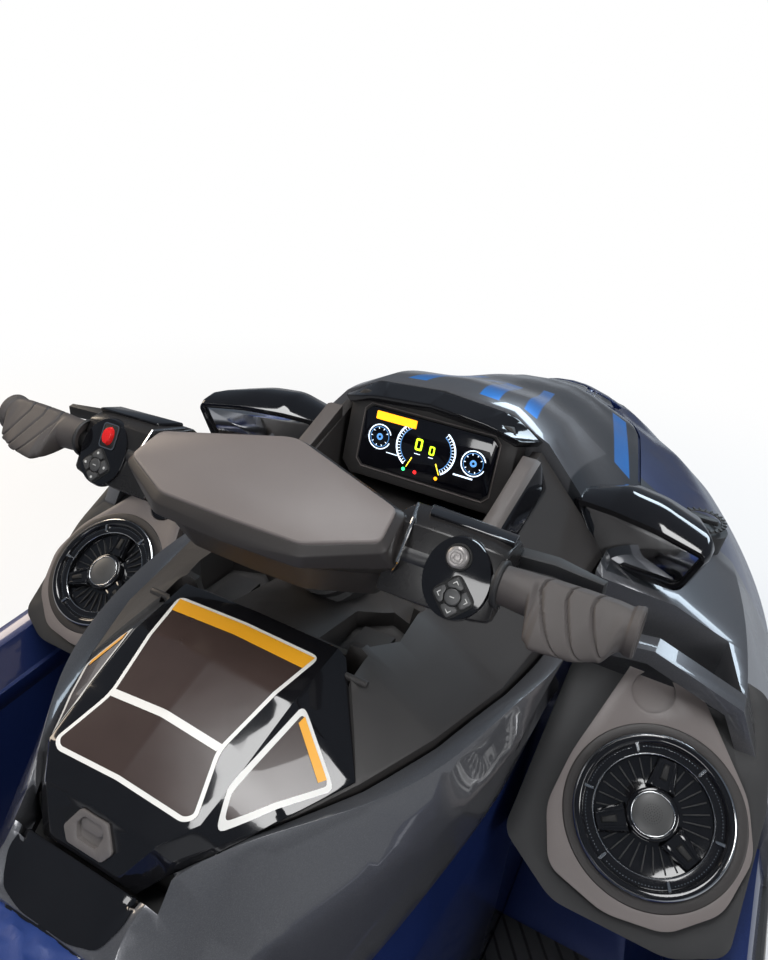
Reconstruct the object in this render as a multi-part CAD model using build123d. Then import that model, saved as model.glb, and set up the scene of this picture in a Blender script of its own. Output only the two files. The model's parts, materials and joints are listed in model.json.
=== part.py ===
from build123d import *
import os
from math import sin, cos, radians

# Three-seat touring watercraft. Millimetres. +X is forward, +Y is port, +Z is up.
# The origin is on the centreline, amidships, at the waterline.

# Driving sizes.
STERN_X = -1725.0
BOW_X = 1725.0
TRANSOM_X = -1640.0
FLOOR_Z = 62.0
MAT_T = 5.0
SEAM = 5.5
PIN_R = 4.0
RUN_FIT = 0.3
PUMP_Z = -95.0
PUMP_R_OUT = 96.0
PUMP_R_IN = 80.0
STEER_TOP = (355.0, 0.0, 850.0)
STEER_AXIS = (-0.64, 0.0, 0.7684)
GRIP_X = 345.0
GRIP_Z = 867.0
GRIP_END_Y = 394.0
BIN_T = 6.0
HOOD_REAR_X = 800.0
HOOD_SPLIT_Z = 652.0
HOOD_SPLIT_FALL = 0.115

os.makedirs("parts", exist_ok=True)
made = {}


def keep(name, shape):
    made[name] = shape
    print(name, len(shape.solids()), round(shape.volume))
    if len(shape.solids()) > 2:
        for s in shape.solids():
            b = s.bounding_box()
            print("    ", round(s.volume), [round(v) for v in (*b.min, *b.max)])


def poly(points):
    return Wire.make_polygon([Vector(*p) for p in points], close=True)


def closed(points, cuts):
    # A closed wire. A corner with a cut becomes an arc that starts that far from the corner.
    corners = [Vector(*p) for p in points]
    count = len(corners)
    ends = []
    for k, corner in enumerate(corners):
        before = corners[k - 1] - corner
        after = corners[(k + 1) % count] - corner
        reach = min(cuts[k], 0.45 * before.length, 0.45 * after.length)
        ends.append((corner + before.normalized() * reach, corner + after.normalized() * reach))
    edges = []
    for k, (start, end) in enumerate(ends):
        if cuts[k] > 0:
            middle = (start + end) * 0.5
            half_chord = (end - start).length / 2
            height = (corners[k] - middle).length
            rise = half_chord * ((corners[k] - start).length - half_chord) / height
            on_arc = middle + (corners[k] - middle).normalized() * rise
            edges.append(Edge.make_three_point_arc(start, on_arc, end))
        edges.append(Edge.make_line(end, ends[(k + 1) % count][0]))
    return Wire(edges)


def loft_x(sections, ruled=False):
    # Sections across x: each point is (y, z) or (y, z, cut), with a cut for a rounded corner.
    wires = []
    for x, pts in sections:
        cuts = [p[2] if len(p) > 2 else 0.0 for p in pts]
        wires.append(closed([(x, p[0], p[1]) for p in pts], cuts))
    return Part() + Solid.make_loft(wires, ruled)


def whole(half):
    # A half outline from the keel to the centre top becomes a closed one.
    back = [(-p[0], *p[1:]) for p in reversed(half) if abs(p[0]) > 1e-6]
    return half + back


def main_solids(shape, least):
    # Leaves out crumbs smaller than least (cubic millimetres).
    return Part() + [s for s in shape.solids() if s.volume > least]


def both(shape):
    return shape + mirror(shape, about=Plane.XZ)


def block(x0, x1, y0, y1, z0, z1):
    size = (x1 - x0, y1 - y0, z1 - z0)
    at = Location(((x0 + x1) / 2, (y0 + y1) / 2, (z0 + z1) / 2))
    return at * Box(*size)


def rod(p, q, r):
    a, b = Vector(*p), Vector(*q)
    d = b - a
    plane = Plane(origin=a, z_dir=d)
    return plane * (Pos(0, 0, d.length / 2) * Cylinder(r, d.length))


def tube_x(x0, x1, z, r, y=0.0):
    return rod((x0, y, z), (x1, y, z), r)


def prism(outline, z0, z1):
    # A plan outline (x, y) raised from z0 to z1.
    face = Face(poly([(x, y, z0) for x, y in outline]))
    return Part() + extrude(face, z1 - z0, dir=(0, 0, 1))


def side_prism(outline, half_width):
    # A side outline (x, z) made as wide as twice half_width, centred.
    face = Face(poly([(x, -half_width, z) for x, z in outline]))
    return Part() + extrude(face, 2 * half_width, dir=(0, 1, 0))


def curve(table, column, x):
    # Smooth reading of one column of a table whose first column is x.
    xs = [row[0] for row in table]
    vs = [row[column] for row in table]
    if x <= xs[0]:
        return vs[0]
    if x >= xs[-1]:
        return vs[-1]
    i = max(k for k in range(len(xs) - 1) if xs[k] <= x)

    def slope(k):
        if k == 0:
            return (vs[1] - vs[0]) / (xs[1] - xs[0])
        if k == len(xs) - 1:
            return (vs[-1] - vs[-2]) / (xs[-1] - xs[-2])
        return (vs[k + 1] - vs[k - 1]) / (xs[k + 1] - xs[k - 1])

    h = xs[i + 1] - xs[i]
    t = (x - xs[i]) / h
    a = (2 * t**3 - 3 * t**2 + 1) * vs[i]
    b = (t**3 - 2 * t**2 + t) * h * slope(i)
    c = (-2 * t**3 + 3 * t**2) * vs[i + 1]
    d = (t**3 - t**2) * h * slope(i + 1)
    return a + b + c + d


# Bond line between hull and deck: x, half width, height.
BOND = [
    (-1700, 548, 262),
    (-1300, 590, 270),
    (-900, 608, 277),
    (-300, 617, 290),
    (300, 620, 316),
    (750, 602, 350),
    (1000, 566, 382),
    (1240, 492, 420),
    (1400, 400, 448),
    (1540, 274, 474),
    (1650, 160, 494),
    (1705, 92, 504),
    (1720, 56, 506),
]
# Hull bottom: x, keel height, chine half width, chine height.
BOTTOM = [
    (-1640, -195, 470, -88),
    (-1300, -225, 482, -86),
    (-900, -240, 490, -82),
    (-400, -240, 492, -78),
    (200, -238, 482, -70),
    (700, -222, 432, -42),
    (1050, -178, 345, 20),
    (1350, -80, 235, 120),
    (1540, 60, 145, 230),
    (1650, 205, 80, 335),
    (1705, 320, 42, 402),
    (1720, 366, 24, 426),
]


def bond(x):
    return curve(BOND, 1, x), curve(BOND, 2, x)


def hull_half(row):
    x, zk, yc, zc = row
    yg, zg = bond(x)
    step = min(24.0, 0.3 * yc)
    ym = 0.42 * (yc + step) + 0.58 * yg + 5
    zm = 0.45 * (zc + 10) + 0.55 * zg
    inner = 0.55 * yc
    zi = zk + (zc - zk) * 0.55 - 4
    return [
        (0, zk),
        (inner, zi),
        (inner + 6, zi + 7),
        (yc, zc),
        (yc + step, zc + 9),
        (ym, zm),
        (yg, zg),
        (0, zg),
    ]


hull_raw = loft_x([(row[0], whole(hull_half(row))) for row in BOTTOM])

# Deck with raised gunwales: the centre is level, the sides stand up around it.
DECK_STATIONS = [-1700, -1640, -1300, -900, -300, 200, 640]


def deck_half(x):
    yg, zg = bond(x)
    rise = 66 + 14 * max(0.0, (x + 900) / 1540)
    return [
        (0, zg - 24),
        (yg - 3, zg - 24),
        (yg - 3, zg + 0.45 * rise),
        (yg - 20, zg + rise),
        (yg - 62, zg + rise + 4),
        (yg - 92, zg + 28),
        (0, zg + 28),
    ]


deck_raw = loft_x([(x, whole(deck_half(x))) for x in DECK_STATIONS])

# Footwells: x, inner half width, outer half width, floor height.
WELL = [
    (-960, 200, 462, 118),
    (-800, 200, 488, 66),
    (-300, 200, 506, 62),
    (200, 200, 506, 62),
    (560, 200, 490, 66),
    (720, 200, 452, 150),
]


def well_half(row, inset=0.0, top=760.0, lift=0.0):
    x, yi, yo, zf = row
    flare = 0.065 * (top - zf)
    return [
        (yi, zf + lift),
        (yo - inset, zf + lift),
        (yo - inset + flare, top),
        (yi, top),
    ]


well_port = loft_x([(row[0], well_half(row)) for row in WELL], True)
wells = both(well_port)

# Pedestal between the footwells, under the seats and the console.
# x, floor half width, knee half width and height, top half width and height.
PEDESTAL = [
    (-1040, 262, 240, 250, 188, 440),
    (-900, 272, 246, 270, 192, 452),
    (-500, 286, 244, 300, 176, 462),
    (-150, 288, 232, 320, 128, 470),
    (60, 288, 232, 340, 104, 500),
    (300, 290, 262, 380, 222, 560),
    (520, 292, 288, 400, 276, 560),
    (800, 294, 292, 400, 286, 560),
]


def pedestal_half(row):
    x, y0, y1, z1, y2, z2 = row
    return [(0, FLOOR_Z), (y0, FLOOR_Z), (y1, z1), (y2, z2), (0, z2)]


pedestal_raw = loft_x([(r[0], whole(pedestal_half(r))) for r in PEDESTAL], True)

# Body cover above the pedestal: the gloss panels that carry the crest line.
# x, base half width and height, side, crest and inner edge the same.
COVER = [
    (-2, 164, 434, 140, 528, 84, 602, 66, 598),
    (50, 174, 430, 146, 544, 84, 638, 60, 626),
    (125, 202, 424, 182, 566, 131, 659, 108, 644),
    (240, 238, 440, 236, 566, 212, 649, 180, 640),
    (340, 264, 470, 268, 570, 253, 641, 218, 634),
    (460, 284, 500, 292, 578, 281, 632, 250, 622),
    (620, 300, 530, 306, 590, 300, 643, 276, 634),
]

# Console: x, crest half width, crest height, upper half width and height, centre height.
CONSOLE = [
    (40, 72, 600, 70, 646, 646),
    (125, 116, 640, 96, 668, 672),
    (240, 184, 650, 112, 716, 716),
    (335, 222, 646, 122, 724, 706),
    (460, 254, 634, 146, 706, 676),
    (620, 276, 642, 158, 742, 668),
    (790, 288, 652, 168, 784, 664),
]


def cover_half(row):
    x, y0, z0, y1, z1, y2, z2, y3, z3 = row
    return [(0, z0), (y0, z0), (y1, z1), (y2, z2), (y3, z3), (0, z3)]


def console_half(row, gap=0.0):
    x, y1, z1, y2, z2, z3 = row
    return [
        (0, 480),
        (y1 - 6 + gap, 480),
        (y1 + gap, z1 + gap),
        (y2, z2),
        (y2 - 14, z2 - 2),
        (y2 - 19, z3),
        (0, z3),
    ]


cover_raw = loft_x([(r[0], whole(cover_half(r))) for r in COVER])
console_gap = loft_x([(r[0], whole(console_half(r, SEAM))) for r in CONSOLE], True)
console_raw = loft_x([(r[0], whole(console_half(r))) for r in CONSOLE], True)
console_raw = console_raw - pedestal_raw
# A scoop in the cover's outer face, ahead of the crest's highlight.
scoop_port = rod((430, 352, 560), (660, 334, 574), 62)

# Front body: fender side, shoulder, fender top, valley, ridge, plateau edge and centre.
FRONT = [
    (620, 590, 470, 516, 622, 402, 662, 300, 646, 172, 700, 112, 716, 720),
    (800, 574, 476, 500, 600, 402, 638, 300, 655, 174, 796, 112, 828, 838),
    (1060, 530, 476, 452, 560, 366, 600, 272, 636, 146, 734, 94, 756, 764),
    (1360, 402, 494, 338, 546, 272, 572, 204, 604, 104, 654, 66, 667, 672),
    (1560, 238, 514, 204, 536, 166, 548, 128, 566, 66, 590, 42, 597, 600),
    (1670, 128, 520, 112, 530, 94, 536, 72, 546, 38, 556, 24, 559, 561),
    (1708, 66, 518, 58, 522, 48, 525, 37, 528, 22, 532, 13, 534, 535),
    (1720, 46, 518, 40, 521, 33, 523.5, 26, 525, 16, 526.6, 9, 527.4, 528),
]


def front_half(row):
    x, top = row[0], row[-1]
    yg, zg = bond(x)
    upper = list(zip(row[1:-1:2], row[2:-1:2]))
    return [(0, zg - 30), (yg - 3, zg - 30), (yg - 3, zg + 12)] + upper + [(0, top)]


FRONT_BETWEEN = (930, 1210, 1460)


def front_row(x):
    return (x, *[curve(FRONT, column, x) for column in range(1, len(FRONT[0]))])


front_rows = sorted(FRONT + [front_row(x) for x in FRONT_BETWEEN])
front_raw = loft_x([(row[0], whole(front_half(row))) for row in front_rows])

# Split between hood and front body.
hood_plan = [(800, 296), (1060, 286), (1360, 226), (1593, 135)]
hood_plan = hood_plan + [(x, -y) for x, y in reversed(hood_plan)]
hood_zone = prism(hood_plan, 400, 1000)


def split_z(x):
    return HOOD_SPLIT_Z - HOOD_SPLIT_FALL * (x - HOOD_REAR_X)


above_split = side_prism(
    [
        (780, split_z(780)),
        (1620, split_z(1620)),
        (1620, 1100),
        (780, 1100),
    ],
    700,
)
hood_cut = hood_zone & above_split
hood_plan_in = [(800, 290), (1060, 280), (1360, 220), (1580, 133)]
hood_plan_in = hood_plan_in + [(x, -y) for x, y in reversed(hood_plan_in)]
above_gap = side_prism(
    [
        (780, split_z(780) + SEAM),
        (1620, split_z(1620) + SEAM),
        (1620, 1100),
        (780, 1100),
    ],
    700,
)
hood_solid = front_raw & (prism(hood_plan_in, 400, 1000) & above_gap)
HOOD_T = 14.0
hood_core_rows = []
for row in front_rows[1:8]:
    flat = [row[0]]
    for y, z in zip(row[1:-1:2], row[2:-1:2]):
        flat += [y - HOOD_T * 1.4, z - HOOD_T]
    flat.append(row[-1] - HOOD_T)
    hood_core_rows.append(tuple(flat))
hood_core_raw = loft_x([(r[0], whole(front_half(r))) for r in hood_core_rows], True)
hood_core_plan = [(826, 262), (1060, 252), (1360, 190), (1540, 120)]
hood_core_plan = hood_core_plan + [(x, -y) for x, y in reversed(hood_core_plan)]
hood_core = hood_core_raw & prism(hood_core_plan, 400, 1000)
hood = hood_solid - hood_core
HOOD_PIN = (1570.0, 580.0)


def hood_rod(y0, y1, r):
    return rod((HOOD_PIN[0], y0, HOOD_PIN[1]), (HOOD_PIN[0], y1, HOOD_PIN[1]), r)


hood_pin_port = hood_rod(44, 76, PIN_R)
hood_bore_port = hood_rod(42, 78, PIN_R + RUN_FIT)
hood_slot_port = block(1546, 1620, 49.5, 70.5, 500, 592)
hood_ear_port = block(1562, 1578, 55, 65, 530, 588)
hood = hood - both(hood_slot_port) - both(hood_bore_port)

# Storage bin below the hood.
BIN_PLAN = [(840, 226), (1130, 214), (1390, 130)]
BIN_FLOOR_Z = 170.0
bin_plan = BIN_PLAN + [(x, -y) for x, y in reversed(BIN_PLAN)]
bin_hole = prism(bin_plan, BIN_FLOOR_Z, 1000)
BIN_IN = [(840 + BIN_T, 220), (1129, 208), (1390 - BIN_T, 124)]
bin_in_plan = BIN_IN + [(x, -y) for x, y in reversed(BIN_IN)]
bin_inner = prism(bin_in_plan, BIN_FLOOR_Z + BIN_T, 1000)
below_split = side_prism(
    [
        (600, 100),
        (1620, 100),
        (1620, split_z(1620)),
        (600, split_z(600)),
    ],
    700,
)
storage_bin = (bin_hole - bin_inner) & below_split

hood_rear_cut = block(600, HOOD_REAR_X + 0.01, -292, 292, 300, 1000)
hood_nose_cut = block(1548, 1593, -138, 138, 546, 700)
front_body = front_raw - hood_cut - hood_rear_cut - bin_hole - hood_nose_cut
front_body += both(hood_ear_port + hood_pin_port)
front_body = main_solids(front_body - hull_raw - wells - pedestal_raw - cover_raw, 1e6)

# Engine bay inside hull and pedestal, and the solid engine in it.
bay = block(-430, 330, -205, 205, -128, 310) + block(-430, 330, -120, 120, 310, 420)
engine_block = block(-330, 190, -165, 165, -128, 300)
engine_block += block(-200, 60, -100, 100, 300, 380)

# Jet pump tunnel at the stern and the intake in front of it.
tunnel = block(TRANSOM_X - 40, -1090, -172, 172, -330, 100)
intake = side_prism(
    [
        (-560, -300),
        (-560, -236),
        (-1000, -40),
        (-1091, -15),
        (-1091, -175),
        (-1000, -190),
        (-930, -236),
        (-930, -300),
    ],
    86,
)
shoe_block = block(-1091, -545, -104, 104, -300, 10)
shaft_bore = tube_x(-1095, -500, PUMP_Z, 14)
coupling_hole = tube_x(-520, -429, PUMP_Z, 30)

intake_shoe = (shoe_block & hull_raw) - intake - shaft_bore
stern_flat = block(-1720, -1500, -620, 620, 262.0, 700)
hull = hull_raw - wells - pedestal_raw - bay - tunnel - shoe_block - shaft_bore
hull = hull - coupling_hole - bin_hole - stern_flat

well_between = block(-960, 660, -290, 290, 200, 800)
deck = deck_raw - well_between - wells - hull_raw - pedestal_raw - front_raw
deck = main_solids(deck, 1e6)

pedestal = pedestal_raw - bay
glove_hole = block(84, 296, -86, 86, 500, 800)
pedestal -= glove_hole

cover = cover_raw - pedestal_raw - console_gap - glove_hole - both(scoop_port)

# Console pockets beside the steering neck, each with a low block inside.
POCKET = [(352, 62), (352, 128), (392, 146), (452, 142), (468, 100), (440, 62)]
pocket_port = prism(POCKET, 655, 800)
POCKET_FLOOR = [(380, 80), (380, 118), (430, 122), (430, 80)]
pocket_block = prism(POCKET_FLOOR, 655, 672)
console = console_raw - both(pocket_port) + both(pocket_block)

LID_HINGE = (310.0, 709.0)
# Glove box lid. x, top half width and height, centre height, outer half width and height.
LID = [
    (50, 42, 630, 632, 54, 614),
    (76, 70, 668, 673, 84, 640),
    (106, 96, 681, 689, 112, 652),
    (165, 101, 700, 712, 146, 657),
    (238, 105, 722, 729, 180, 653),
    (322, 106, 730, 733, 116, 721),
]
LID_T = 12.0


LID_SKIRT = 16.0
# The lid's rear end stays inside this reach of its hinge, so that it swings out of its hole.
LID_REACH = 271.0
LID_SEAM = 4.0


def lid_half(row, grow=0.0):
    x, y1, z1, z2, y2, z3 = row
    return [
        (0, z3 - LID_SKIRT - grow),
        (y2 - 22 + grow, z3 - LID_SKIRT - grow),
        (y2 + grow, z3 + grow),
        (y1 + grow, z1 + grow),
        (0, z2 + grow),
    ]


def lid_core_half(row):
    x, y1, z1, z2, y2, z3 = row
    return [(0, 560), (y1 - LID_T, 560), (y1 - LID_T, z1 - LID_T), (0, z2 - LID_T)]


def lid_rod(y0, y1, r):
    return rod((LID_HINGE[0], y0, LID_HINGE[1]), (LID_HINGE[0], y1, LID_HINGE[1]), r)


hole_reach = lid_rod(-250, 250, LID_REACH + LID_SEAM)
lid_raw = loft_x([(r[0], whole(lid_half(r))) for r in LID], True) & lid_rod(-250, 250, LID_REACH)
lid_gap = loft_x([(r[0], whole(lid_half(r, SEAM))) for r in LID], True) & hole_reach
lid_core = loft_x([(r[0], whole(lid_core_half(r))) for r in LID[2:]], True)
lid_core = lid_core & block(100, 286, -78, 78, 500, 800)
gap_rear = block(40, 76, -92, 92, 600, 800) & hole_reach
gap_front = block(300, 342, -132, 132, 670, 800)
console = console - lid_gap - gap_rear - gap_front - glove_hole
lid_pin_port = lid_rod(98, 150, PIN_R)
lid_bore_port = lid_rod(96, 150, PIN_R + RUN_FIT)
console = console + both(lid_pin_port)
cover = cover - lid_gap - gap_rear
glove_lid = lid_raw - lid_core - both(lid_bore_port)

# The latch sits in a shield-shaped recess on the lid's steep rear face.
latch_plane = Plane(origin=(63, 0, 652.5), x_dir=(0, 1, 0), z_dir=(-0.845, 0, 0.536))
LATCH = [(31, 6), (22, 18), (-22, 18), (-31, 6), (-17, -17), (17, -17)]
PADDLE = [(17, -3), (12, 10), (-12, 10), (-17, -3), (-11, -12), (11, -12)]


def on_latch(outline, d0, d1):
    face = Face(closed([(u, v, d0) for u, v in outline], [3.0] * len(outline)))
    return latch_plane * (Part() + extrude(face, d1 - d0, dir=(0, 0, 1)))


latch_hole = on_latch(LATCH, -7, 20)
glove_lid = glove_lid - latch_hole
lid_latch = on_latch([(0.985 * u, 0.985 * v) for u, v in LATCH], -7, 1.5)
lid_latch = lid_latch - on_latch(PADDLE, -4, 8)
lid_latch += on_latch([(0.9 * u, 0.5 * v - 5) for u, v in PADDLE], -4.5, -1)

# Gloss cap between the lid and the seat. x, half width and height.
CAP_ROWS = [(-4, 56, 594), (22, 66, 612), (49, 76, 634)]


def cap_half(row):
    x, y, z = row
    return [(0, 556), (y - 8, 556), (y, z - 10), (y - 9, z, 4), (0, z + 3)]


cap_raw = loft_x([(r[0], whole(cap_half(r))) for r in CAP_ROWS])
rear_cap = cap_raw - lid_gap - gap_rear - pedestal_raw
cover = cover - cap_raw
console = main_solids(console - cap_raw, 1e5)

glovebox_bin = glove_hole - block(84 + 5, 296 - 5, -81, 81, 505, 900)
glovebox_bin = glovebox_bin & block(0, 400, -200, 200, 400, 606)

# Steering neck seat on the console.
axis = Vector(*STEER_AXIS).normalized()
top = Vector(*STEER_TOP)


def on_axis(d):
    p = top - axis * d
    return (p.X, p.Y, p.Z)


neck_seat = rod(on_axis(186), on_axis(262), 52)
neck_base = rod(on_axis(172), on_axis(186), 44) + neck_seat
neck_base = neck_base & block(200, 800, -200, 200, 560, 900)
console = console - neck_seat
neck_base = neck_base - console - pedestal
neck_base += rod(on_axis(130), on_axis(190), 14)

# Struts beside the display, on the console.
STRUT = [(500, 146, 172, 690, 712), (640, 150, 176, 735, 757), (750, 152, 180, 764, 792)]
strut_port = loft_x(
    [
        (x, [(y0, z0 - 14), (y1 + 14, z0 - 14), (y1, z1 - 3), (y1 - 7, z1), (y0, z1)])
        for x, y0, y1, z0, z1 in STRUT
    ],
    True,
)
struts = both(strut_port) - console

# Speaker pods: a tilted face with the speaker in it.
SPEAKER = Vector(493, 454, 502)
pod_plane = Plane(origin=SPEAKER, x_dir=(0, -1, 0), z_dir=(-0.62, 0, 0.785))
POD = [
    (69, 195),
    (14, 195),
    (-95, 60),
    (-116, 0),
    (-100, -70),
    (-50, -116),
    (20, -126),
    (95, -105),
    (120, -40),
    (112, 30),
]
BASE = [
    (150, 150),
    (110, 215),
    (0, 215),
    (-90, 190),
    (-118, 60),
    (-118, -110),
    (-60, -140),
    (80, -140),
    (160, -90),
]


def tilted(outline, d0, d1):
    face = Face(closed([(u, v, d0) for u, v in outline], [16.0] * len(outline)))
    return pod_plane * (Part() + extrude(face, d1 - d0, dir=(0, 0, 1)))


pod_port = tilted(POD, -46, 0)
pod_port -= pod_plane * (Pos(0, 0, -15) * Cylinder(104, 30.2))
pod_port -= pod_plane * (Pos(41, 141, -3) * Cylinder(27, 6.2))
pod_base_port = tilted(BASE, -120, -14) - tilted(POD, -46, 0)

bezel = Pos(0, 0, 4) * Cylinder(110, 8) - Pos(0, 0, 4) * Cylinder(99, 9)
barrel = Pos(0, 0, -15) * Cylinder(103.6, 30) - Pos(0, 0, -12) * Cylinder(96, 26)
speaker_port = pod_plane * (bezel + barrel)
spokes = Part()
for k in range(3):
    spoke = Face(poly([(30, -17, -7), (90, -11, -7), (90, 11, -7), (30, 17, -7)]))
    spokes += Rot(0, 0, 90 + 120 * k) * (Part() + extrude(spoke, 8, dir=(0, 0, 1)))
grille_ring = Pos(0, 0, -3) * Cylinder(95.6, 8) - Pos(0, 0, -3) * Cylinder(82, 9)
hub_ring = Pos(0, 0, -2) * Cylinder(34, 12)
cap = Pos(0, 0, 6) * Cylinder(28, 4)
grille_port = pod_plane * (grille_ring + spokes + hub_ring)
stem = Pos(0, 0, -10) * Cylinder(30, 4)
grille_port += pod_plane * stem
cap_port = pod_plane * cap
dish = Pos(41, 141, -4) * Cylinder(24, 4)
keys = Part()
for k in range(4):
    turn = radians(45 + 90 * k)
    keys += Pos(41 + 12 * cos(turn), 141 + 12 * sin(turn), -1) * Cylinder(5, 3)

# Mirrors ride on the hood and face the rider.
MIRROR_AT = Vector(800, 332, 708)
mirror_plane = Plane(origin=MIRROR_AT, x_dir=(0.634, -0.774, 0), z_dir=(-0.774, -0.634, 0))
MIRROR = [(120, 36), (30, 52), (-112, 26), (-124, -4), (-92, -44), (66, -44)]
MIRROR_CUTS = [26, 60, 26, 20, 24, 24]
m0 = closed([(u, v, 0) for u, v in MIRROR], MIRROR_CUTS)
m1 = closed([(0.95 * u + 2, 0.94 * v + 4, -22) for u, v in MIRROR], MIRROR_CUTS)
m2 = closed([(0.62 * u + 14, 0.6 * v + 6, -62) for u, v in MIRROR], MIRROR_CUTS)
mirror_shell = mirror_plane * (Part() + Solid.make_loft([m0, m1, m2]))
GLASS = [(0.86 * u, 0.82 * v - 1) for u, v in MIRROR]
glass_face = Face(closed([(u, v, -4) for u, v in GLASS], [c * 0.8 for c in MIRROR_CUTS]))
mirror_glass_port = mirror_plane * (Part() + extrude(glass_face, 3, dir=(0, 0, 1)))
POCKET_GLASS = [(1.02 * u, 1.03 * v, -4) for u, v in GLASS]
pocket_face = Face(closed(POCKET_GLASS, [c * 0.8 for c in MIRROR_CUTS]))
mirror_shell -= mirror_plane * (Part() + extrude(pocket_face, 8, dir=(0, 0, 1)))
mirror_shell = mirror_shell - hood_solid
mirror_shell = mirror_shell - hood_core_raw

# Display pod and visor on the hood's rear edge.
face_plane = Plane(origin=(747, 0, 757), x_dir=(0, -1, 0), z_dir=(-0.955, 0, 0.297))


def bevelled(half_w, half_h, cut, d0, d1, v_off=0.0):
    pts = [
        (half_w, half_h - cut),
        (half_w - cut, half_h),
        (-half_w + cut, half_h),
        (-half_w, half_h - cut),
        (-half_w, -half_h + cut),
        (-half_w + cut, -half_h),
        (half_w - cut, -half_h),
        (half_w, -half_h + cut),
    ]
    w = Wire.make_polygon([Vector(u, v + v_off, d0) for u, v in pts], close=True)
    return face_plane * (Part() + extrude(Face(w), d1 - d0, dir=(0, 0, 1)))


pod_core = bevelled(140, 68, 16, -70, 0)
display_pod = pod_core - bevelled(112, 48, 10, -3, 6, -2)
display_glass = bevelled(111.6, 47.6, 10, -3, 1.5, -2)
VISOR = [(750, 146, 812, 830), (801, 166, 796, 834)]


def visor_half(row):
    x, y, z0, z1 = row
    return [
        (0, z1 - 10),
        (y - 40, z1 - 18),
        (y - 8, z0 - 10),
        (y, z0),
        (y - 52, z1 - 6, 16),
        (0, z1 + 3),
    ]


visor_raw = loft_x([(r[0], whole(visor_half(r))) for r in VISOR], True)
visor = main_solids(visor_raw - pod_core - hood_solid - hood_core_raw, 1000)
display_pod = main_solids(display_pod - hood_solid, 1000)

# Handlebar: neck, cross tube, pad, housings, grips and levers.
neck = rod(on_axis(20), on_axis(166), 34)
neck += rod(on_axis(150), on_axis(166.5), 40)
PAD_TOP = [(428, 0), (426, 60), (384, 178), (320, 163), (288, 80), (286, 0)]
PAD_MID = [(438, 0), (436, 64), (392, 190), (312, 174), (276, 84), (274, 0)]
PAD_LOW = [(420, 0), (418, 58), (380, 168), (326, 158), (300, 76), (298, 0)]


def pad_wire(half, z):
    full = half + [(x, -y) for x, y in reversed(half[1:-1])]
    cuts = [0.0 if abs(y) < 1 else 16.0 for x, y in full]
    return closed([(x, y, z) for x, y in full], cuts)


PAD_Z = (806, 846, 879)
pad_wires = [pad_wire(half, z) for half, z in zip((PAD_LOW, PAD_MID, PAD_TOP), PAD_Z)]
bar_pad = Part() + Solid.make_loft(pad_wires[:2], True)
bar_pad += Part() + Solid.make_loft(pad_wires[1:], True)
CAP_HALF = [(x * 0.94 + 357 * 0.06, y * 0.95) for x, y in PAD_TOP]
cap_face = Face(pad_wire(CAP_HALF, PAD_Z[2]))
bar_pad_cap = Part() + extrude(cap_face, 7, dir=(0, 0, 1))

BAR_R = 13.0
BAR_Z = GRIP_Z - 3
BAR_END_Y = GRIP_END_Y - 30
cross = rod((GRIP_X, -BAR_END_Y, BAR_Z), (GRIP_X, BAR_END_Y, BAR_Z), BAR_R)
# Switch housings: plan outline on the port side, and height and scale of each level.
HOUSE = [
    (398, 118),
    (456, 84),
    (474, 117),
    (443, 203),
    (408, 253),
    (374, 268),
    (322, 268),
    (316, 206),
    (334, 150),
]
HOUSE_MID = (385.0, 190.0)
HOUSE_LEVELS = [(808, 0.84), (846, 1.0), (866, 1.0), (877, 0.93)]
house_wires = []
for z, grow_by in HOUSE_LEVELS:
    pts = []
    for x, y in HOUSE:
        dx, dy = x - HOUSE_MID[0], y - HOUSE_MID[1]
        pts.append((HOUSE_MID[0] + dx * grow_by, HOUSE_MID[1] + dy * grow_by, z))
    house_wires.append(closed(pts, [9.0] * len(pts)))
house_port = Part() + Solid.make_loft(house_wires, True)

# The round lobe faces the rider and carries a four-way key and a round button.
lobe_plane = Plane(origin=(346, 229, 858), x_dir=(0, 1, 0), z_dir=(-0.75, 0, 0.66))
lobe = lobe_plane * (Pos(0, 14, -19) * Cylinder(31, 38) + Pos(0, -14, -19) * Cylinder(28, 38))
face_cut = lobe_plane * block(-80, 60, -70, 70, 0, 70)
KEY_HALF = 23.0
KEY = [(KEY_HALF, 0), (0, KEY_HALF), (-KEY_HALF, 0), (0, -KEY_HALF)]
key_outline = closed([(u, v, -3) for u, v in KEY], [7.0] * 4)
key_pad = lobe_plane * (Pos(0, 14, 0) * (Part() + extrude(Face(key_outline), 6, dir=(0, 0, 1))))
round_key = lobe_plane * (Pos(0, -24, 1) * Cylinder(10, 12))
cross_hole = rod((GRIP_X, -GRIP_END_Y, BAR_Z), (GRIP_X, GRIP_END_Y, BAR_Z), BAR_R)
house_hole = rod((GRIP_X, -GRIP_END_Y, BAR_Z), (GRIP_X, GRIP_END_Y, BAR_Z), BAR_R + 0.1)
house_port = house_port - face_cut + lobe - bar_pad - bar_pad_cap - house_hole
bar_pad = bar_pad - cross_hole
neck = neck - bar_pad - cross_hole - rod(on_axis(124), on_axis(200), 14.3)

# Shroud round the neck, under the pad.
SHROUD_TOP = [(412, 0), (408, 84), (372, 118), (332, 110), (314, 60), (312, 0)]
SHROUD_LOW = [(446, 0), (444, 54), (412, 74), (376, 66), (364, 36), (362, 0)]
bar_shroud = Part() + Solid.make_loft([pad_wire(SHROUD_TOP, 809), pad_wire(SHROUD_LOW, 762)], True)
bar_shroud = main_solids(bar_shroud - neck - bar_pad - both(house_port) - cross_hole, 1000)
neck = neck - both(house_port)

GRIP = [
    (268.3, 30, 24, -8),
    (284, 34, 26, -10),
    (316, 44, 23, -16),
    (348, 36, 23, -10),
    (374, 24, 22, -2),
    (386, 25, 24, 0),
    (394, 26, 25, 0),
]


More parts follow.
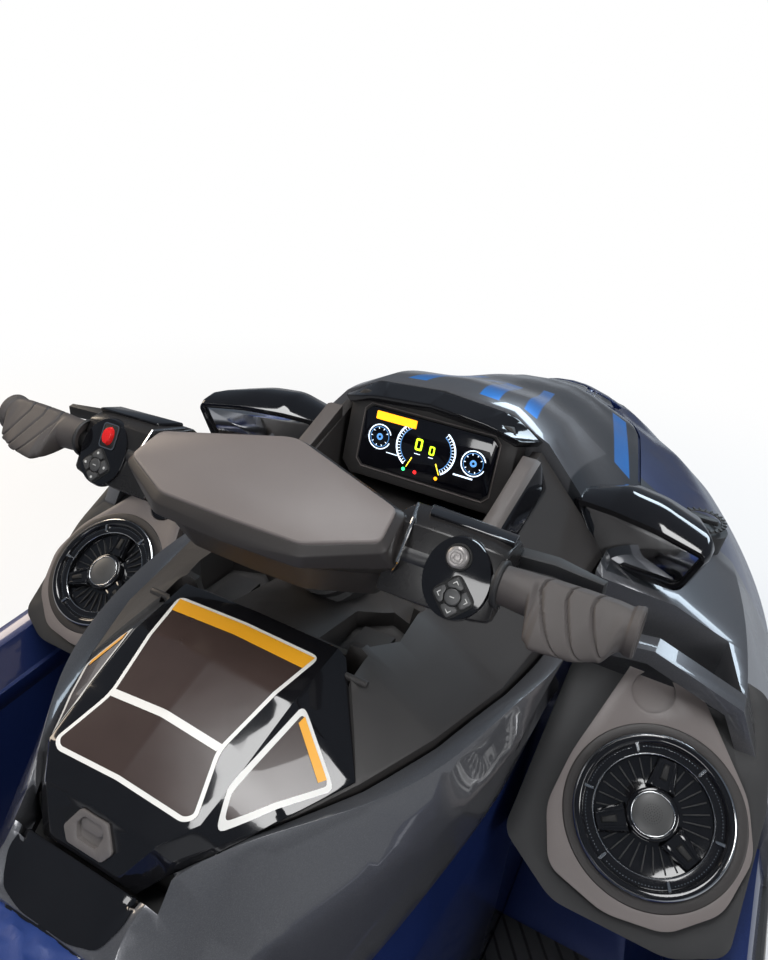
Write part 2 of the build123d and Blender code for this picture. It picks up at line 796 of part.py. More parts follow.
def grip_wire(row):
    y, rx, rz, off = row
    pts = []
    for k in range(12):
        a = radians(30 * k)
        pts.append((GRIP_X + off + rx * cos(a), y, GRIP_Z + rz * sin(a)))
    return Wire.make_polygon([Vector(*p) for p in pts], close=True)


grip_port = Part() + Solid.make_loft([grip_wire(r) for r in GRIP], True)
grip_port -= cross_hole & block(0, 900, 0, BAR_END_Y + 0.5, 0, 1200)
grip_port -= rod((GRIP_X, GRIP_END_Y - 12, GRIP_Z), (GRIP_X, GRIP_END_Y + 1, GRIP_Z), 15)
LEVER = [(392, 250), (410, 252), (414, 300), (400, 352), (392, 350), (398, 300)]
lever_port = prism(LEVER, 856, 870)
lever_port = lever_port - house_port
bar_cover = both(house_port - key_pad - round_key)
bar_keys = both(key_pad + round_key) - cross_hole

# Seats, as two cushions.
# x, base half width and height, side half width and height, top half width and height.
SEAT_FRONT = [
    (-5, 156, 440, 138, 526, 76, 588),
    (-60, 164, 450, 148, 540, 90, 600),
    (-240, 180, 468, 180, 556, 120, 610),
    (-420, 196, 466, 206, 566, 148, 628),
    (-520, 200, 464, 212, 588, 156, 664),
    (-548, 198, 464, 208, 590, 150, 676),
]
SEAT_REAR = [
    (-556, 198, 450, 208, 596, 152, 682),
    (-640, 200, 448, 212, 606, 156, 692),
    (-800, 198, 442, 212, 612, 156, 700),
    (-960, 190, 436, 204, 622, 146, 716),
    (-1010, 182, 434, 192, 622, 134, 708),
]


def seat_half(row):
    x, y0, z0, y1, z1, y2, z2 = row
    return [(0, z0), (y0, z0, 14), (y1, z1, 36), (y2, z2, 40), (0, z2 + 6)]


seat_front = loft_x([(r[0], whole(seat_half(r))) for r in SEAT_FRONT], True)
seat_rear = loft_x([(r[0], whole(seat_half(r))) for r in SEAT_REAR], True)
seat_front = seat_front - pedestal_raw - cover_raw - console_raw - lid_gap - cap_raw
cover = cover - seat_front
seat_rear = seat_rear - pedestal_raw

# Grab handle behind the rear seat.
grab = block(-1062, -1030, -150, -112, 440, 600) + block(-1062, -1030, 112, 150, 440, 600)
grab += block(-1070, -1036, -150, 150, 600, 628)
grab += block(-1062, -1030, -150, 150, 436, 470)
grab = grab - seat_rear - pedestal_raw
grab_base = side_prism(
    [(-1040, 440), (-1040, 290), (-1180, 290), (-1120, 380), (-1064, 436), (-1040, 436)], 176
)
grab_base = grab_base - pedestal_raw - deck_raw - grab - hull_raw

# Mats.
mat_rows = []
for x, yi, yo, zf in WELL[1:-1]:
    mat_rows.append((x, [(yi, zf), (yo - 8, zf), (yo - 8, zf + MAT_T), (yi, zf + MAT_T)]))
mat_port = loft_x(mat_rows, True)
mats = both(mat_port - pedestal_raw)
rear_z = bond(-1400)[1] + 28
REAR_MAT = [(-1220, 430), (-1620, 400), (-1672, 360)]
rear_mat_plan = REAR_MAT + [(x, -y) for x, y in reversed(REAR_MAT)]
rear_mat = prism(rear_mat_plan, 280, rear_z + 7) - deck_raw - grab_base

# Rub rail over the bond line, and the bow and stern bumpers.
RAIL_STATIONS = [-1700, -1300, -900, -300, 300, 750, 1000, 1240, 1400, 1540, 1650, 1705]


def rail_half(x):
    yg, zg = bond(x)
    return [
        (yg - 26, zg - 17),
        (yg + 3, zg - 17),
        (yg + 8, zg - 8),
        (yg + 8, zg + 9),
        (yg + 2, zg + 20),
        (yg - 26, zg + 20),
    ]


rail_port = loft_x([(x, rail_half(x)) for x in RAIL_STATIONS])
rail_port = rail_port - hull_raw - deck_raw - front_raw
rails = both(rail_port)
BUMPER = [(1676, 150), (1700, 124), (1717, 88), (BOW_X, 44)]
bumper_plan = BUMPER + [(x, -y) for x, y in reversed(BUMPER)]
bumper_side = [(1640, 470), (1712, 458), (BOW_X, 470), (BOW_X, 504), (1712, 517), (1640, 512)]
bow_bumper = prism(bumper_plan, 440, 530) & side_prism(bumper_side, 200)
bow_bumper = bow_bumper - hull_raw - front_raw - rails
stern_bumper = block(STERN_X, -1688, -556, 556, 236, 286)
stern_bumper = stern_bumper - deck_raw - rails - hull_raw

# Arch band over the speaker niche.
ARCH = [(300, 646), (402, 662), (516, 622), (590, 470), (617, 345)]
ARCH_IN = [(300, 624), (396, 640), (498, 606), (568, 466), (590, 345)]
arch_pts = ARCH + list(reversed(ARCH_IN))
arch_face = Face(poly([(590, y, z) for y, z in arch_pts]))
arch_port = Part() + extrude(arch_face, 30, dir=(1, 0, 0)) - cover_raw - hull_raw - deck_raw - rail_port
arch = both(arch_port)

speaker_seat = pod_plane * (Pos(0, 0, -15) * Cylinder(104, 30.2))
pod_base_port = pod_base_port - speaker_seat - pedestal_raw - cover_raw
pod_base = both(pod_base_port - hull_raw - deck_raw - front_raw - arch_port - rail_port)
speaker_pods = both(pod_port - hull_raw - deck_raw - front_raw - arch_port - rail_port)

# Jet pump and what hangs on it.
pump = tube_x(-1440, -1091, PUMP_Z, PUMP_R_OUT)
pump = pump - tube_x(-1400, -1090, PUMP_Z, PUMP_R_IN)
pump = pump - tube_x(-1441, -1399, PUMP_Z, 60)
PUMP_END_X = -1440.0


def cone_back(x, r0, r1, length):
    # A cone that runs aft from x, on the pump's axis.
    plane = Plane(origin=(x, 0, PUMP_Z), z_dir=(-1, 0, 0))
    return Part() + Solid.make_cone(r0, r1, length, plane)


pump_cone = cone_back(PUMP_END_X, 72, 60, 60) - cone_back(PUMP_END_X, 60, 48, 60)
stator_hub = tube_x(-1392, -1292, PUMP_Z, 34)
pump += pump_cone
stator = stator_hub
for k in range(8):
    vane = Pos(-1342, 0, PUMP_Z) * Rot(45 * k, 0, 0) * Pos(0, 0, 57) * Rot(0, 0, 14) * Box(90, 4, 50)
    stator += vane
stator = stator & tube_x(-1400, -1200, PUMP_Z, PUMP_R_IN + 2)
pump += stator
pump -= tube_x(-1320, -1280, PUMP_Z, 11 + RUN_FIT)
pump += block(-1130, -1091, -172, 172, -190, 20) - tube_x(-1140, -1080, PUMP_Z, PUMP_R_IN)

impeller = tube_x(-1284, -1160, PUMP_Z, 30)
for k in range(4):
    impeller += Pos(-1220, 0, PUMP_Z) * Rot(90 * k, 0, 0) * Pos(0, 0, 49) * Rot(0, 0, 42) * Box(96, 5, 50)
impeller = impeller & tube_x(-1300, -1100, PUMP_Z, PUMP_R_IN - 3)
impeller += tube_x(-1300, -1160, PUMP_Z, 11) + tube_x(-1160, -470, PUMP_Z, 11)

NOZZLE_L = 96.0
NOZZLE_X = -1510.0
nozzle = cone_back(NOZZLE_X, 70, 54, NOZZLE_L) - cone_back(NOZZLE_X, 62, 46, NOZZLE_L)
nozzle_ear = block(-1512, -1468, -14, 14, PUMP_Z + 71, PUMP_Z + 80)
nozzle_ear += block(-1532, -1508, -14, 14, PUMP_Z + 64, PUMP_Z + 80)
nozzle += nozzle_ear + mirror(nozzle_ear, about=Plane(origin=(0, 0, PUMP_Z), z_dir=(0, 0, 1)))
nozzle = nozzle - tube_x(-1640, -1400, PUMP_Z, 46)
pivot_pins = rod((-1480, 0, PUMP_Z + 58), (-1480, 0, PUMP_Z + 79), 6)
pivot_pins += rod((-1480, 0, PUMP_Z - 58), (-1480, 0, PUMP_Z - 79), 6)
nozzle -= rod((-1480, 0, PUMP_Z - 100), (-1480, 0, PUMP_Z + 100), 6 + RUN_FIT)
pump += pivot_pins - tube_x(-1520, -1400, PUMP_Z, 50)

# Reverse gate: a scoop on two arms, turning about a cross axis.
GATE_X = -1460.0
GATE_Z = PUMP_Z
GATE_R = 198.0
GATE_HALF = 118.0


def gate_rod(half, r):
    # Across the craft, on the gate's own axis.
    return rod((GATE_X, -half, GATE_Z), (GATE_X, half, GATE_Z), r)


gate_wall = gate_rod(GATE_HALF, GATE_R) - gate_rod(GATE_HALF + 1, GATE_R - 9)
sector = []
for deg in (22, 40, 58, 76):
    sector.append((GATE_X - 260 * cos(radians(deg)), GATE_Z + 260 * sin(radians(deg))))
sector = [(GATE_X, GATE_Z)] + sector
gate = gate_wall & side_prism(sector, GATE_HALF)
cheek = side_prism(sector, GATE_HALF) & gate_rod(GATE_HALF, GATE_R - 4)
cheek -= gate_rod(GATE_HALF + 1, 120)
ARM = [(16, -8), (-8, -18), (-118, 46), (-60, 118), (10, 18)]
arm = side_prism([(GATE_X + dx, GATE_Z + dz) for dx, dz in ARM], GATE_HALF)
between_cheeks = block(-2000, -1000, 8 - GATE_HALF, GATE_HALF - 8, -400, 400)
gate = gate + (cheek - between_cheeks) + (arm - between_cheeks)
gate_pin = gate_rod(124, 7)
gate -= gate_rod(130, 7 + RUN_FIT)
pump += gate_pin - tube_x(-1520, -1300, PUMP_Z, 62)

# Ride plate, intake grate, sponsons, eyes, cleats and caps.
ride_plate = block(-1600, -1091, -168, 168, -216, -204)
ride_plate += block(-1130, -1091, -60, 60, -204, -190)
ride_plate = ride_plate - hull - pump
bars_g = Part()
GRATE_BAR = [(-940, -214), (-940, -226), (-548, -250), (-548, -238)]
for y in (-60, -30, 0, 30, 60):
    bars_g += Pos(0, y, 0) * side_prism(GRATE_BAR, 4)
bars_g += block(-944, -926, -80, 80, -232, -214) + block(-566, -548, -80, 80, -250, -228)
intake_grate = (bars_g & block(-2000, 0, -86, 86, -400, 0)) - hull_raw + (bars_g & intake)
SPONSON = [(-1480, 10), (-1420, 34), (-900, 34), (-780, 8)]
sponson_port = loft_x(
    [
        (x, [(470, -84), (506 + w, -78), (512 + w, -50), (540, 10), (500, 10)])
        for x, w in SPONSON
    ],
    True,
)
sponsons = both(sponson_port) - hull_raw

# Bow and tow eyes: plates with a hole, at the stem and on the transom.
BOW_EYE = [(1650, 284), (1706, 276), (1722, 288), (1722, 312), (1706, 324), (1650, 332)]
TOW_EYE = [(-1636, 148), (-1674, 156), (-1690, 166), (-1690, 184), (-1674, 194), (-1636, 202)]
bow_eye = side_prism(BOW_EYE, 5) - rod((1707, -6, 300), (1707, 6, 300), 9) - hull_raw
tow_eye = side_prism(TOW_EYE, 5) + block(-1648, -1636, -34, 34, 144, 206)
tow_eye = tow_eye - rod((-1674, -6, 175), (-1674, 6, 175), 9) - hull_raw
CLEAT_X = (-1000, -250)
cleat = Part()
for x in CLEAT_X:
    yg, zg = bond(x)
    cleat += block(x - 55, x + 55, yg - 50, yg - 34, zg + 90, zg + 104)
    cleat += block(x - 22, x + 22, yg - 52, yg - 32, zg + 40, zg + 92)
cleats = both(cleat) - deck_raw - front_raw
fuel_cap = rod((1010, -392, 560), (1016, -400, 620), 44) - front_raw
CARGO_AT = [(-1300, 180), (-1300, -180), (-1540, 180), (-1540, -180)]
cargo = Part()
for x, y in CARGO_AT:
    cargo += Pos(x, y, rear_z + 9) * Cylinder(30, 18)
    cargo -= Pos(x, y, rear_z + 13) * Cylinder(12, 14)
rear_mat = rear_mat - cargo
for x, y in CARGO_AT:
    rear_mat -= Pos(x, y, rear_z + 9) * Cylinder(30, 40)
cargo = cargo - deck_raw

# Boarding step on the transom, folded up.
STEP_X = -1668.0
STEP_Z = 70.0
STEP_Y = 300.0
STEP_L = 150.0
step = Part()
for side in (-1, 1):
    y = STEP_Y + side * 86
    step += rod((STEP_X, y, STEP_Z), (STEP_X - 4, y, STEP_Z + STEP_L), 10)
    step += rod((STEP_X, y - 9, STEP_Z), (STEP_X, y + 9, STEP_Z), 16)
step += block(STEP_X - 22, STEP_X + 10, STEP_Y - 96, STEP_Y + 96, STEP_Z + STEP_L - 4, STEP_Z + STEP_L + 10)
step -= rod((STEP_X, STEP_Y - 120, STEP_Z), (STEP_X, STEP_Y + 120, STEP_Z), 6 + RUN_FIT)
step_base = block(TRANSOM_X - 6, TRANSOM_X + 30, STEP_Y - 120, STEP_Y + 120, STEP_Z - 26, STEP_Z + 26)
step_base += rod((STEP_X, STEP_Y - 112, STEP_Z), (STEP_X, STEP_Y + 112, STEP_Z), 6)
for side in (-1, 1):
    y = STEP_Y + side * 110
    step_base += block(STEP_X - 14, TRANSOM_X + 2, y - 6, y + 6, STEP_Z - 14, STEP_Z + 14)
step_base = step_base - hull_raw

keep("hull", hull)
keep("deck", deck)
keep("pedestal", pedestal)
keep("body_cover", cover)
keep("console", console)
keep("front_body", front_body)
keep("hood", hood)
keep("storage_bin", storage_bin)
keep("glovebox_bin", glovebox_bin)
keep("glove_lid", glove_lid)
keep("lid_latch", lid_latch)
keep("neck_base", neck_base)
keep("struts", struts)
keep("speaker_pods", speaker_pods)
keep("pod_base", pod_base)
keep("speakers", both(speaker_port))
keep("speaker_grilles", both(grille_port))
keep("speaker_caps", both(cap_port))
keep("pod_keypad", both(pod_plane * dish) + pod_plane * keys)
keep("mirror_shells", both(mirror_shell))
keep("mirror_glass", both(mirror_glass_port))
keep("display_pod", display_pod)
keep("display_glass", display_glass)
keep("visor", visor)
keep("bar_neck", neck + cross)
keep("bar_pad", bar_pad)
keep("bar_pad_cap", bar_pad_cap)
keep("bar_housings", bar_cover)
keep("bar_keys", bar_keys)
keep("bar_shroud", bar_shroud)
keep("grips", both(grip_port))
keep("levers", both(lever_port))
keep("seat_front", seat_front)
keep("seat_rear", seat_rear)
keep("grab_handle", grab)
keep("grab_base", grab_base)
keep("footwell_mats", mats)
keep("rear_mat", rear_mat)
keep("rear_cap", rear_cap)
keep("intake_shoe", intake_shoe)
keep("rub_rails", rails)
keep("bow_bumper", bow_bumper)
keep("stern_bumper", stern_bumper)
keep("arch_bands", arch)
keep("pump_housing", pump)
keep("impeller", impeller)
keep("jet_nozzle", nozzle)
keep("reverse_gate", gate)
keep("ride_plate", ride_plate)
keep("intake_grate", intake_grate)
keep("sponsons", sponsons)
keep("eyes", bow_eye + tow_eye)
keep("cleats", cleats)
keep("fuel_cap", fuel_cap)
keep("cargo_mounts", cargo)
keep("boarding_step", step)
keep("step_base", step_base)
keep("engine_block", engine_block)

for name, shape in made.items():
    export_step(shape, f"parts/{name}.step")
print(len(made), "nodes")
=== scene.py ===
# %% [markdown]
# This is a three-seat watercraft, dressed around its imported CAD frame. The frame gives
# every solid its place in metres: +X is the bow, +Y is port, +Z is up, and z = 0 is the
# water. Gel coat, moulded grain, vinyl, rubber, the instrument's picture and the small
# parts that catch the light are not in a solid model, so this file adds them.

# %% Load the frame
import bpy
import bmesh
import json
import math
from mathutils import Matrix, Vector
from mathutils.bvhtree import BVHTree


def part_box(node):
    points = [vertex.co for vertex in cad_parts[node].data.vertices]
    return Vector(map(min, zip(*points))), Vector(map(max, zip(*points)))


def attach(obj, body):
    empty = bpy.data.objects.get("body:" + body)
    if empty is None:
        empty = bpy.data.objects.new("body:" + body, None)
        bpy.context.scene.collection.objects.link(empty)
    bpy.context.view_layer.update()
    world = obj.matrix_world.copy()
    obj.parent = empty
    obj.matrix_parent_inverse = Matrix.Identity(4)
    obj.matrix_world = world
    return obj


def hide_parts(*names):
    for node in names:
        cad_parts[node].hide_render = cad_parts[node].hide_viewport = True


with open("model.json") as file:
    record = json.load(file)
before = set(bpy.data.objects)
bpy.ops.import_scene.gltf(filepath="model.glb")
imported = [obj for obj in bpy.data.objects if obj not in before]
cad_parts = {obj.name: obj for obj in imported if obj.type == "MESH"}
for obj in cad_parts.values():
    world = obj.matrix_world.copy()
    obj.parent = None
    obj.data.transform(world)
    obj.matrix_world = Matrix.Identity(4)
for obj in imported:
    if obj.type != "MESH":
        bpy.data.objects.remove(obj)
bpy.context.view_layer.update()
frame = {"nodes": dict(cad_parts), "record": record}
nodes = frame["nodes"]

# %% [markdown]
# The camera stands over the starboard side of the seat, 1.3 m above the water line, and
# looks down and forward. It could be aimed by eye. Here it was worked out from mirrored
# points of the left and right side, so the craft's own symmetry fixes it, and its axes
# are kept as they came out instead of as rounded angles.

# %% Camera
scene = bpy.context.scene
EYE = Vector((-0.227, -0.43, 1.30))
RIGHT = Vector((0.48128957, -0.87499914, 0.05231491))
UP = Vector((0.40920479, 0.27705921, 0.86936163))
FORWARD = Vector((0.77518501, 0.39700717, -0.49139954))
LENS_MM, SENSOR_MM = 29.07, 36.0
camera_data = bpy.data.cameras.new("camera")
camera_data.lens = LENS_MM
camera_data.sensor_width = SENSOR_MM
camera = bpy.data.objects.new("camera", camera_data)
turn = Matrix((RIGHT, UP, -FORWARD)).transposed()
camera.matrix_world = Matrix.Translation(EYE) @ turn.to_4x4()
scene.collection.objects.link(camera)
scene.camera = camera
scene.view_settings.view_transform = "Standard"
print("camera at", tuple(round(v, 3) for v in EYE))

# %% [markdown]
# Gloss panels look glossy only when they have something to mirror. A sky picture could
# give that, but large soft boxes keep it plain and even: one overhead, one on each
# side, one past the bow and one past the stern. A warm one and a cool one tell the two
# sides of a fold apart.

# %% Soft boxes
NEUTRAL, WARM, COOL = (1.0, 1.0, 1.0), (1.0, 0.84, 0.66), (0.74, 0.88, 1.0)
# Place, aim, both sides in metres, power in watts, and colour.
SOFT_BOXES = {
    "overhead": ((0.2, 0.3, 4.2), (0.2, 0.0, 0.4), 3.4, 1.0, 95, NEUTRAL),
    "starboard_box": ((-0.6, -3.8, 2.6), (0.2, 0.0, 0.4), 2.6, 1.0, 70, NEUTRAL),
    "port_box": ((0.8, 3.8, 2.4), (0.4, 0.0, 0.4), 3.0, 1.0, 70, WARM),
    "bow_box": ((4.4, -0.8, 2.6), (0.8, 0.0, 0.5), 2.6, 0.9, 50, COOL),
    "stern_box": ((-4.4, 0.2, 2.8), (-0.6, 0.0, 0.5), 2.4, 1.2, 55, NEUTRAL),
}


def soft_box(name, at, aim, size_x, size_y, power, color):
    lamp = bpy.data.lights.new(name, "AREA")
    lamp.shape = "RECTANGLE"
    lamp.size = size_x
    lamp.size_y = size_y
    lamp.energy = power
    lamp.color = color
    holder = bpy.data.objects.new(name, lamp)
    holder.location = at
    direction = Vector(aim) - Vector(at)
    holder.rotation_mode = "QUATERNION"
    holder.rotation_quaternion = direction.to_track_quat("-Z", "Y")
    scene.collection.objects.link(holder)


for name, row in SOFT_BOXES.items():
    soft_box(name, *row)
print("soft boxes", len(SOFT_BOXES))

# %% [markdown]
# The world lifts the shadows. One grey for everything would be simplest, but then black
# gloss turns grey. So the camera sees plain white, the craft is lit by a pale blue
# grey, and gloss mirrors a darker room than the one that lights it.

# %% World
SEEN_SKY = ((1.0, 1.0, 1.0), 1.0)
LIT_SKY = ((0.86, 0.9, 0.96), 0.36)
MIRRORED_SKY = ((0.7, 0.82, 1.0), 0.13)
world = bpy.data.worlds.new("studio")
scene.world = world
world.use_nodes = True
wn, wl = world.node_tree.nodes, world.node_tree.links
wn.clear()


def sky(color, strength):
    n = wn.new("ShaderNodeBackground")
    n.inputs["Color"].default_value = (*color, 1.0)
    n.inputs["Strength"].default_value = strength
    return n.outputs[0]


world_out = wn.new("ShaderNodeOutputWorld")
world_path = wn.new("ShaderNodeLightPath")
by_gloss = wn.new("ShaderNodeMixShader")
by_camera = wn.new("ShaderNodeMixShader")
wl.new(world_path.outputs["Is Glossy Ray"], by_gloss.inputs["Fac"])
wl.new(sky(*LIT_SKY), by_gloss.inputs[1])
wl.new(sky(*MIRRORED_SKY), by_gloss.inputs[2])
wl.new(world_path.outputs["Is Camera Ray"], by_camera.inputs["Fac"])
wl.new(by_gloss.outputs[0], by_camera.inputs[1])
wl.new(sky(*SEEN_SKY), by_camera.inputs[2])
wl.new(by_camera.outputs[0], world_out.inputs["Surface"])
print("world nodes", len(wn))

# %% [markdown]
# The floor lies at the water level. A big plane would show its edge against the world,
# so it fades to plain white with distance, for the camera only. Near the craft it stays
# a pale matt surface that takes the shadow, and gloss sees it darker, as it does the
# world.

# %% Floor
FLOOR = 30.0
FLOOR_PALE, FLOOR_MIRRORED = (0.82, 0.82, 0.82, 1.0), (0.3, 0.31, 0.33, 1.0)
FLOOR_ROUGH, FADE_FROM, FADE_TO = 0.85, 1.6, 3.4
floor_mesh = bpy.data.meshes.new("floor")
floor_mesh.from_pydata(
    [(-FLOOR, -FLOOR, 0), (FLOOR, -FLOOR, 0), (FLOOR, FLOOR, 0), (-FLOOR, FLOOR, 0)],
    [],
    [(0, 1, 2, 3)],
)
floor = bpy.data.objects.new("floor", floor_mesh)
scene.collection.objects.link(floor)
floor_material = bpy.data.materials.new("floor")
floor_material.use_nodes = True
fn, fl = floor_material.node_tree.nodes, floor_material.node_tree.links
floor_bsdf = fn["Principled BSDF"]
floor_bsdf.inputs["Roughness"].default_value = FLOOR_ROUGH
floor_path = fn.new("ShaderNodeLightPath")
# How far a point is from the craft, as a share of the fade.
floor_at = fn.new("ShaderNodeTexCoord")
floor_far = fn.new("ShaderNodeVectorMath")
floor_far.operation = "LENGTH"
fl.new(floor_at.outputs["Object"], floor_far.inputs[0])
floor_fade = fn.new("ShaderNodeMapRange")
floor_fade.interpolation_type = "SMOOTHSTEP"
floor_fade.inputs["From Min"].default_value = FADE_FROM
floor_fade.inputs["From Max"].default_value = FADE_TO
fl.new(floor_far.outputs["Value"], floor_fade.inputs["Value"])
floor_seen = fn.new("ShaderNodeMath")
floor_seen.operation = "MULTIPLY"
fl.new(floor_fade.outputs[0], floor_seen.inputs[0])
fl.new(floor_path.outputs["Is Camera Ray"], floor_seen.inputs[1])
# The tone near the craft, then the mix with plain white.
floor_tone = fn.new("ShaderNodeMix")
floor_tone.data_type = "RGBA"
floor_tone.inputs["A"].default_value = FLOOR_PALE
floor_tone.inputs["B"].default_value = FLOOR_MIRRORED
fl.new(floor_path.outputs["Is Glossy Ray"], floor_tone.inputs["Factor"])
fl.new(floor_tone.outputs["Result"], floor_bsdf.inputs["Base Color"])
floor_white = fn.new("ShaderNodeEmission")
floor_mix = fn.new("ShaderNodeMixShader")
fl.new(floor_seen.outputs[0], floor_mix.inputs["Fac"])
fl.new(floor_bsdf.outputs[0], floor_mix.inputs[1])
fl.new(floor_white.outputs[0], floor_mix.inputs[2])
fl.new(floor_mix.outputs[0], fn["Material Output"].inputs["Surface"])
floor_mesh.materials.append(floor_material)
print("floor fades from", FADE_FROM, "to", FADE_TO, "m")

# %% [markdown]
# Most finishes here are one of three: moulded plastic with a fine grain, gel coat with
# metal flake under a clear coat, and plain deep gloss. Each could carry its own noise,
# but what they share is built once as node groups that put out masks and heights: a
# grain, a flake and an uneven film of handling marks. Every material then sets its own
# values. These are the helpers that a group is made with.

# %% Group helpers


def group(name, inputs, outputs):
    tree = bpy.data.node_groups.new(name, "ShaderNodeTree")
    for label, value in inputs:
        s = tree.interface.new_socket(label, in_out="INPUT", socket_type="NodeSocketFloat")
        s.default_value = value
    for label in outputs:
        tree.interface.new_socket(label, in_out="OUTPUT", socket_type="NodeSocketFloat")
    a = tree.nodes.new("NodeGroupInput")
    b = tree.nodes.new("NodeGroupOutput")
    return tree, a, b


def math_node(tree, operation, a, b=None, clamp=False):
    n = tree.nodes.new("ShaderNodeMath")
    n.operation = operation
    n.use_clamp = clamp
    for slot, value in ((0, a), (1, b)):
        if value is None:
            continue
        if isinstance(value, (int, float)):
            n.inputs[slot].default_value = value
        else:
            tree.links.new(value, n.inputs[slot])
    return n.outputs[0]


def noise(tree, scale, detail, rough):
    at = tree.nodes.new("ShaderNodeTexCoord")
    n = tree.nodes.new("ShaderNodeTexNoise")
    n.inputs["Detail"].default_value = detail
    n.inputs["Roughness"].default_value = rough
    tree.links.new(at.outputs["Object"], n.inputs["Vector"])
    tree.links.new(scale, n.inputs["Scale"])
    return n.outputs["Fac"]


def ramp(tree, value, low, high, a=0.0, b=1.0):
    # Turns a value between a and b into one between low and high.
    n = tree.nodes.new("ShaderNodeMapRange")
    n.inputs["From Min"].default_value = a
    n.inputs["From Max"].default_value = b
    n.inputs["To Min"].default_value = low
    n.inputs["To Max"].default_value = high
    tree.links.new(value, n.inputs["Value"])
    return n.outputs[0]


print("group helpers ready")

# %% [markdown]
# The grain is a fine noise for the height of the surface and a wide one for the tone.
# The flake is the distance inside small cells, squared so that only their rims sparkle.
# The film is a wide noise cut to a narrow range, which leaves clean areas between
# smeared ones. All three read the object's own place, so nothing slides on a moving
# piece.

# %% Node groups
FILM_FROM, FILM_TO = 0.42, 0.72
grain_inputs = [("Scale", 900.0), ("Blotch", 9.0)]
grain_tree, gi, go = group("moulded grain", grain_inputs, ["Height", "Mottle"])
fine = noise(grain_tree, gi.outputs["Scale"], 3.0, 0.6)
blotch = noise(grain_tree, gi.outputs["Blotch"], 4.0, 0.55)
grain_tree.links.new(fine, go.inputs["Height"])
grain_tree.links.new(blotch, go.inputs["Mottle"])

flake_tree, fi, fo = group("metal flake", [("Scale", 2600.0)], ["Flake"])
flake_at = flake_tree.nodes.new("ShaderNodeTexCoord")
cells = flake_tree.nodes.new("ShaderNodeTexVoronoi")
flake_tree.links.new(flake_at.outputs["Object"], cells.inputs["Vector"])
flake_tree.links.new(fi.outputs["Scale"], cells.inputs["Scale"])
sparkle = math_node(flake_tree, "POWER", cells.outputs["Distance"], 2.0, True)
flake_tree.links.new(sparkle, fo.inputs["Flake"])

film_tree, mi, mo = group("handling film", [("Scale", 5.0), ("Amount", 1.0)], ["Film"])
wide = noise(film_tree, mi.outputs["Scale"], 6.0, 0.62)
spread = ramp(film_tree, wide, 0.0, 1.0, FILM_FROM, FILM_TO)
film = math_node(film_tree, "MULTIPLY", spread, mi.outputs["Amount"])
film_tree.links.new(film, mo.inputs["Film"])
print("node groups", len(bpy.data.node_groups))

# %% [markdown]
# Every finish starts from the standard surface shader. These helpers open a new
# material, place a group in it and blend two colours by a mask.

# %% Material helpers


def blank(name):
    m = bpy.data.materials.new(name)
    m.use_nodes = True
    t = m.node_tree
    return m, t, t.nodes["Principled BSDF"]


def use(tree, source, **values):
    n = tree.nodes.new("ShaderNodeGroup")
    n.node_tree = source
    for key, value in values.items():
        n.inputs[key].default_value = value
    return n


def blend_color(tree, factor, a, b):
    n = tree.nodes.new("ShaderNodeMix")
    n.data_type = "RGBA"
    tree.links.new(factor, n.inputs["Factor"])
    for socket, value in ((n.inputs["A"], a), (n.inputs["B"], b)):
        if isinstance(value, tuple):
            socket.default_value = (*value, 1.0)
        else:
            tree.links.new(value, socket)
    return n.outputs["Result"]


def raise_surface(tree, bsdf, height, strength, distance):
    bump = tree.nodes.new("ShaderNodeBump")
    bump.inputs["Strength"].default_value = strength
    bump.inputs["Distance"].default_value = distance
    tree.links.new(height, bump.inputs["Height"])
    tree.links.new(bump.outputs["Normal"], bsdf.inputs["Normal"])


print("material helpers ready")

# %% [markdown]
# Paint edges on the real craft run straight across a moulding. A picture could hold
# them, or cuts in the mesh, but a mask worked out from a point's place is sharp at any
# size and leaves the CAD mesh alone. Each mask is one side of a leaning plane, and
# multiplying masks gives the area that lies inside all of them.

# %% Paint masks
EDGE_SOFT = 0.0012


def place(tree):
    # X, Y without its sign, and Z of the point that is shaded, in metres.
    at = tree.nodes.new("ShaderNodeTexCoord")
    split = tree.nodes.new("ShaderNodeSeparateXYZ")
    tree.links.new(at.outputs["Object"], split.inputs[0])
    side = math_node(tree, "ABSOLUTE", split.outputs["Y"])
    return split.outputs["X"], side, split.outputs["Z"]


def plane_mask(tree, spot, x_rate, y_rate, z_rate, edge):
    # 1 where x_rate * X + y_rate * |Y| + z_rate * Z is over edge.
    total = None
    for value, rate in zip(spot, (x_rate, y_rate, z_rate)):
        if rate:
            part = math_node(tree, "MULTIPLY", value, rate)
            total = part if total is None else math_node(tree, "ADD", total, part)
    return ramp(tree, total, 0.0, 1.0, edge - EDGE_SOFT, edge + EDGE_SOFT)


def join_masks(tree, operation, masks):
    total = masks[0]
    for m in masks[1:]:
        total = math_node(tree, operation, total, m)
    return total


def in_all(tree, *masks):
    return join_masks(tree, "MULTIPLY", masks)


def in_any(tree, *masks):
    return join_masks(tree, "MAXIMUM", masks)


print("mask helpers ready")

# %% [markdown]
# Moulded plastic and rubber have a spark-eroded grain, slightly uneven colour, and
# patches that hands have polished or left dull. The grain could be real relief, but a
# bump is enough for a tenth of a millimetre.

# %% Moulded plastic
GRAIN_BLOTCH, GRAIN_BUMP, GRAIN_FILM, DULLER = 11.0, 0.35, 6.0, 0.12


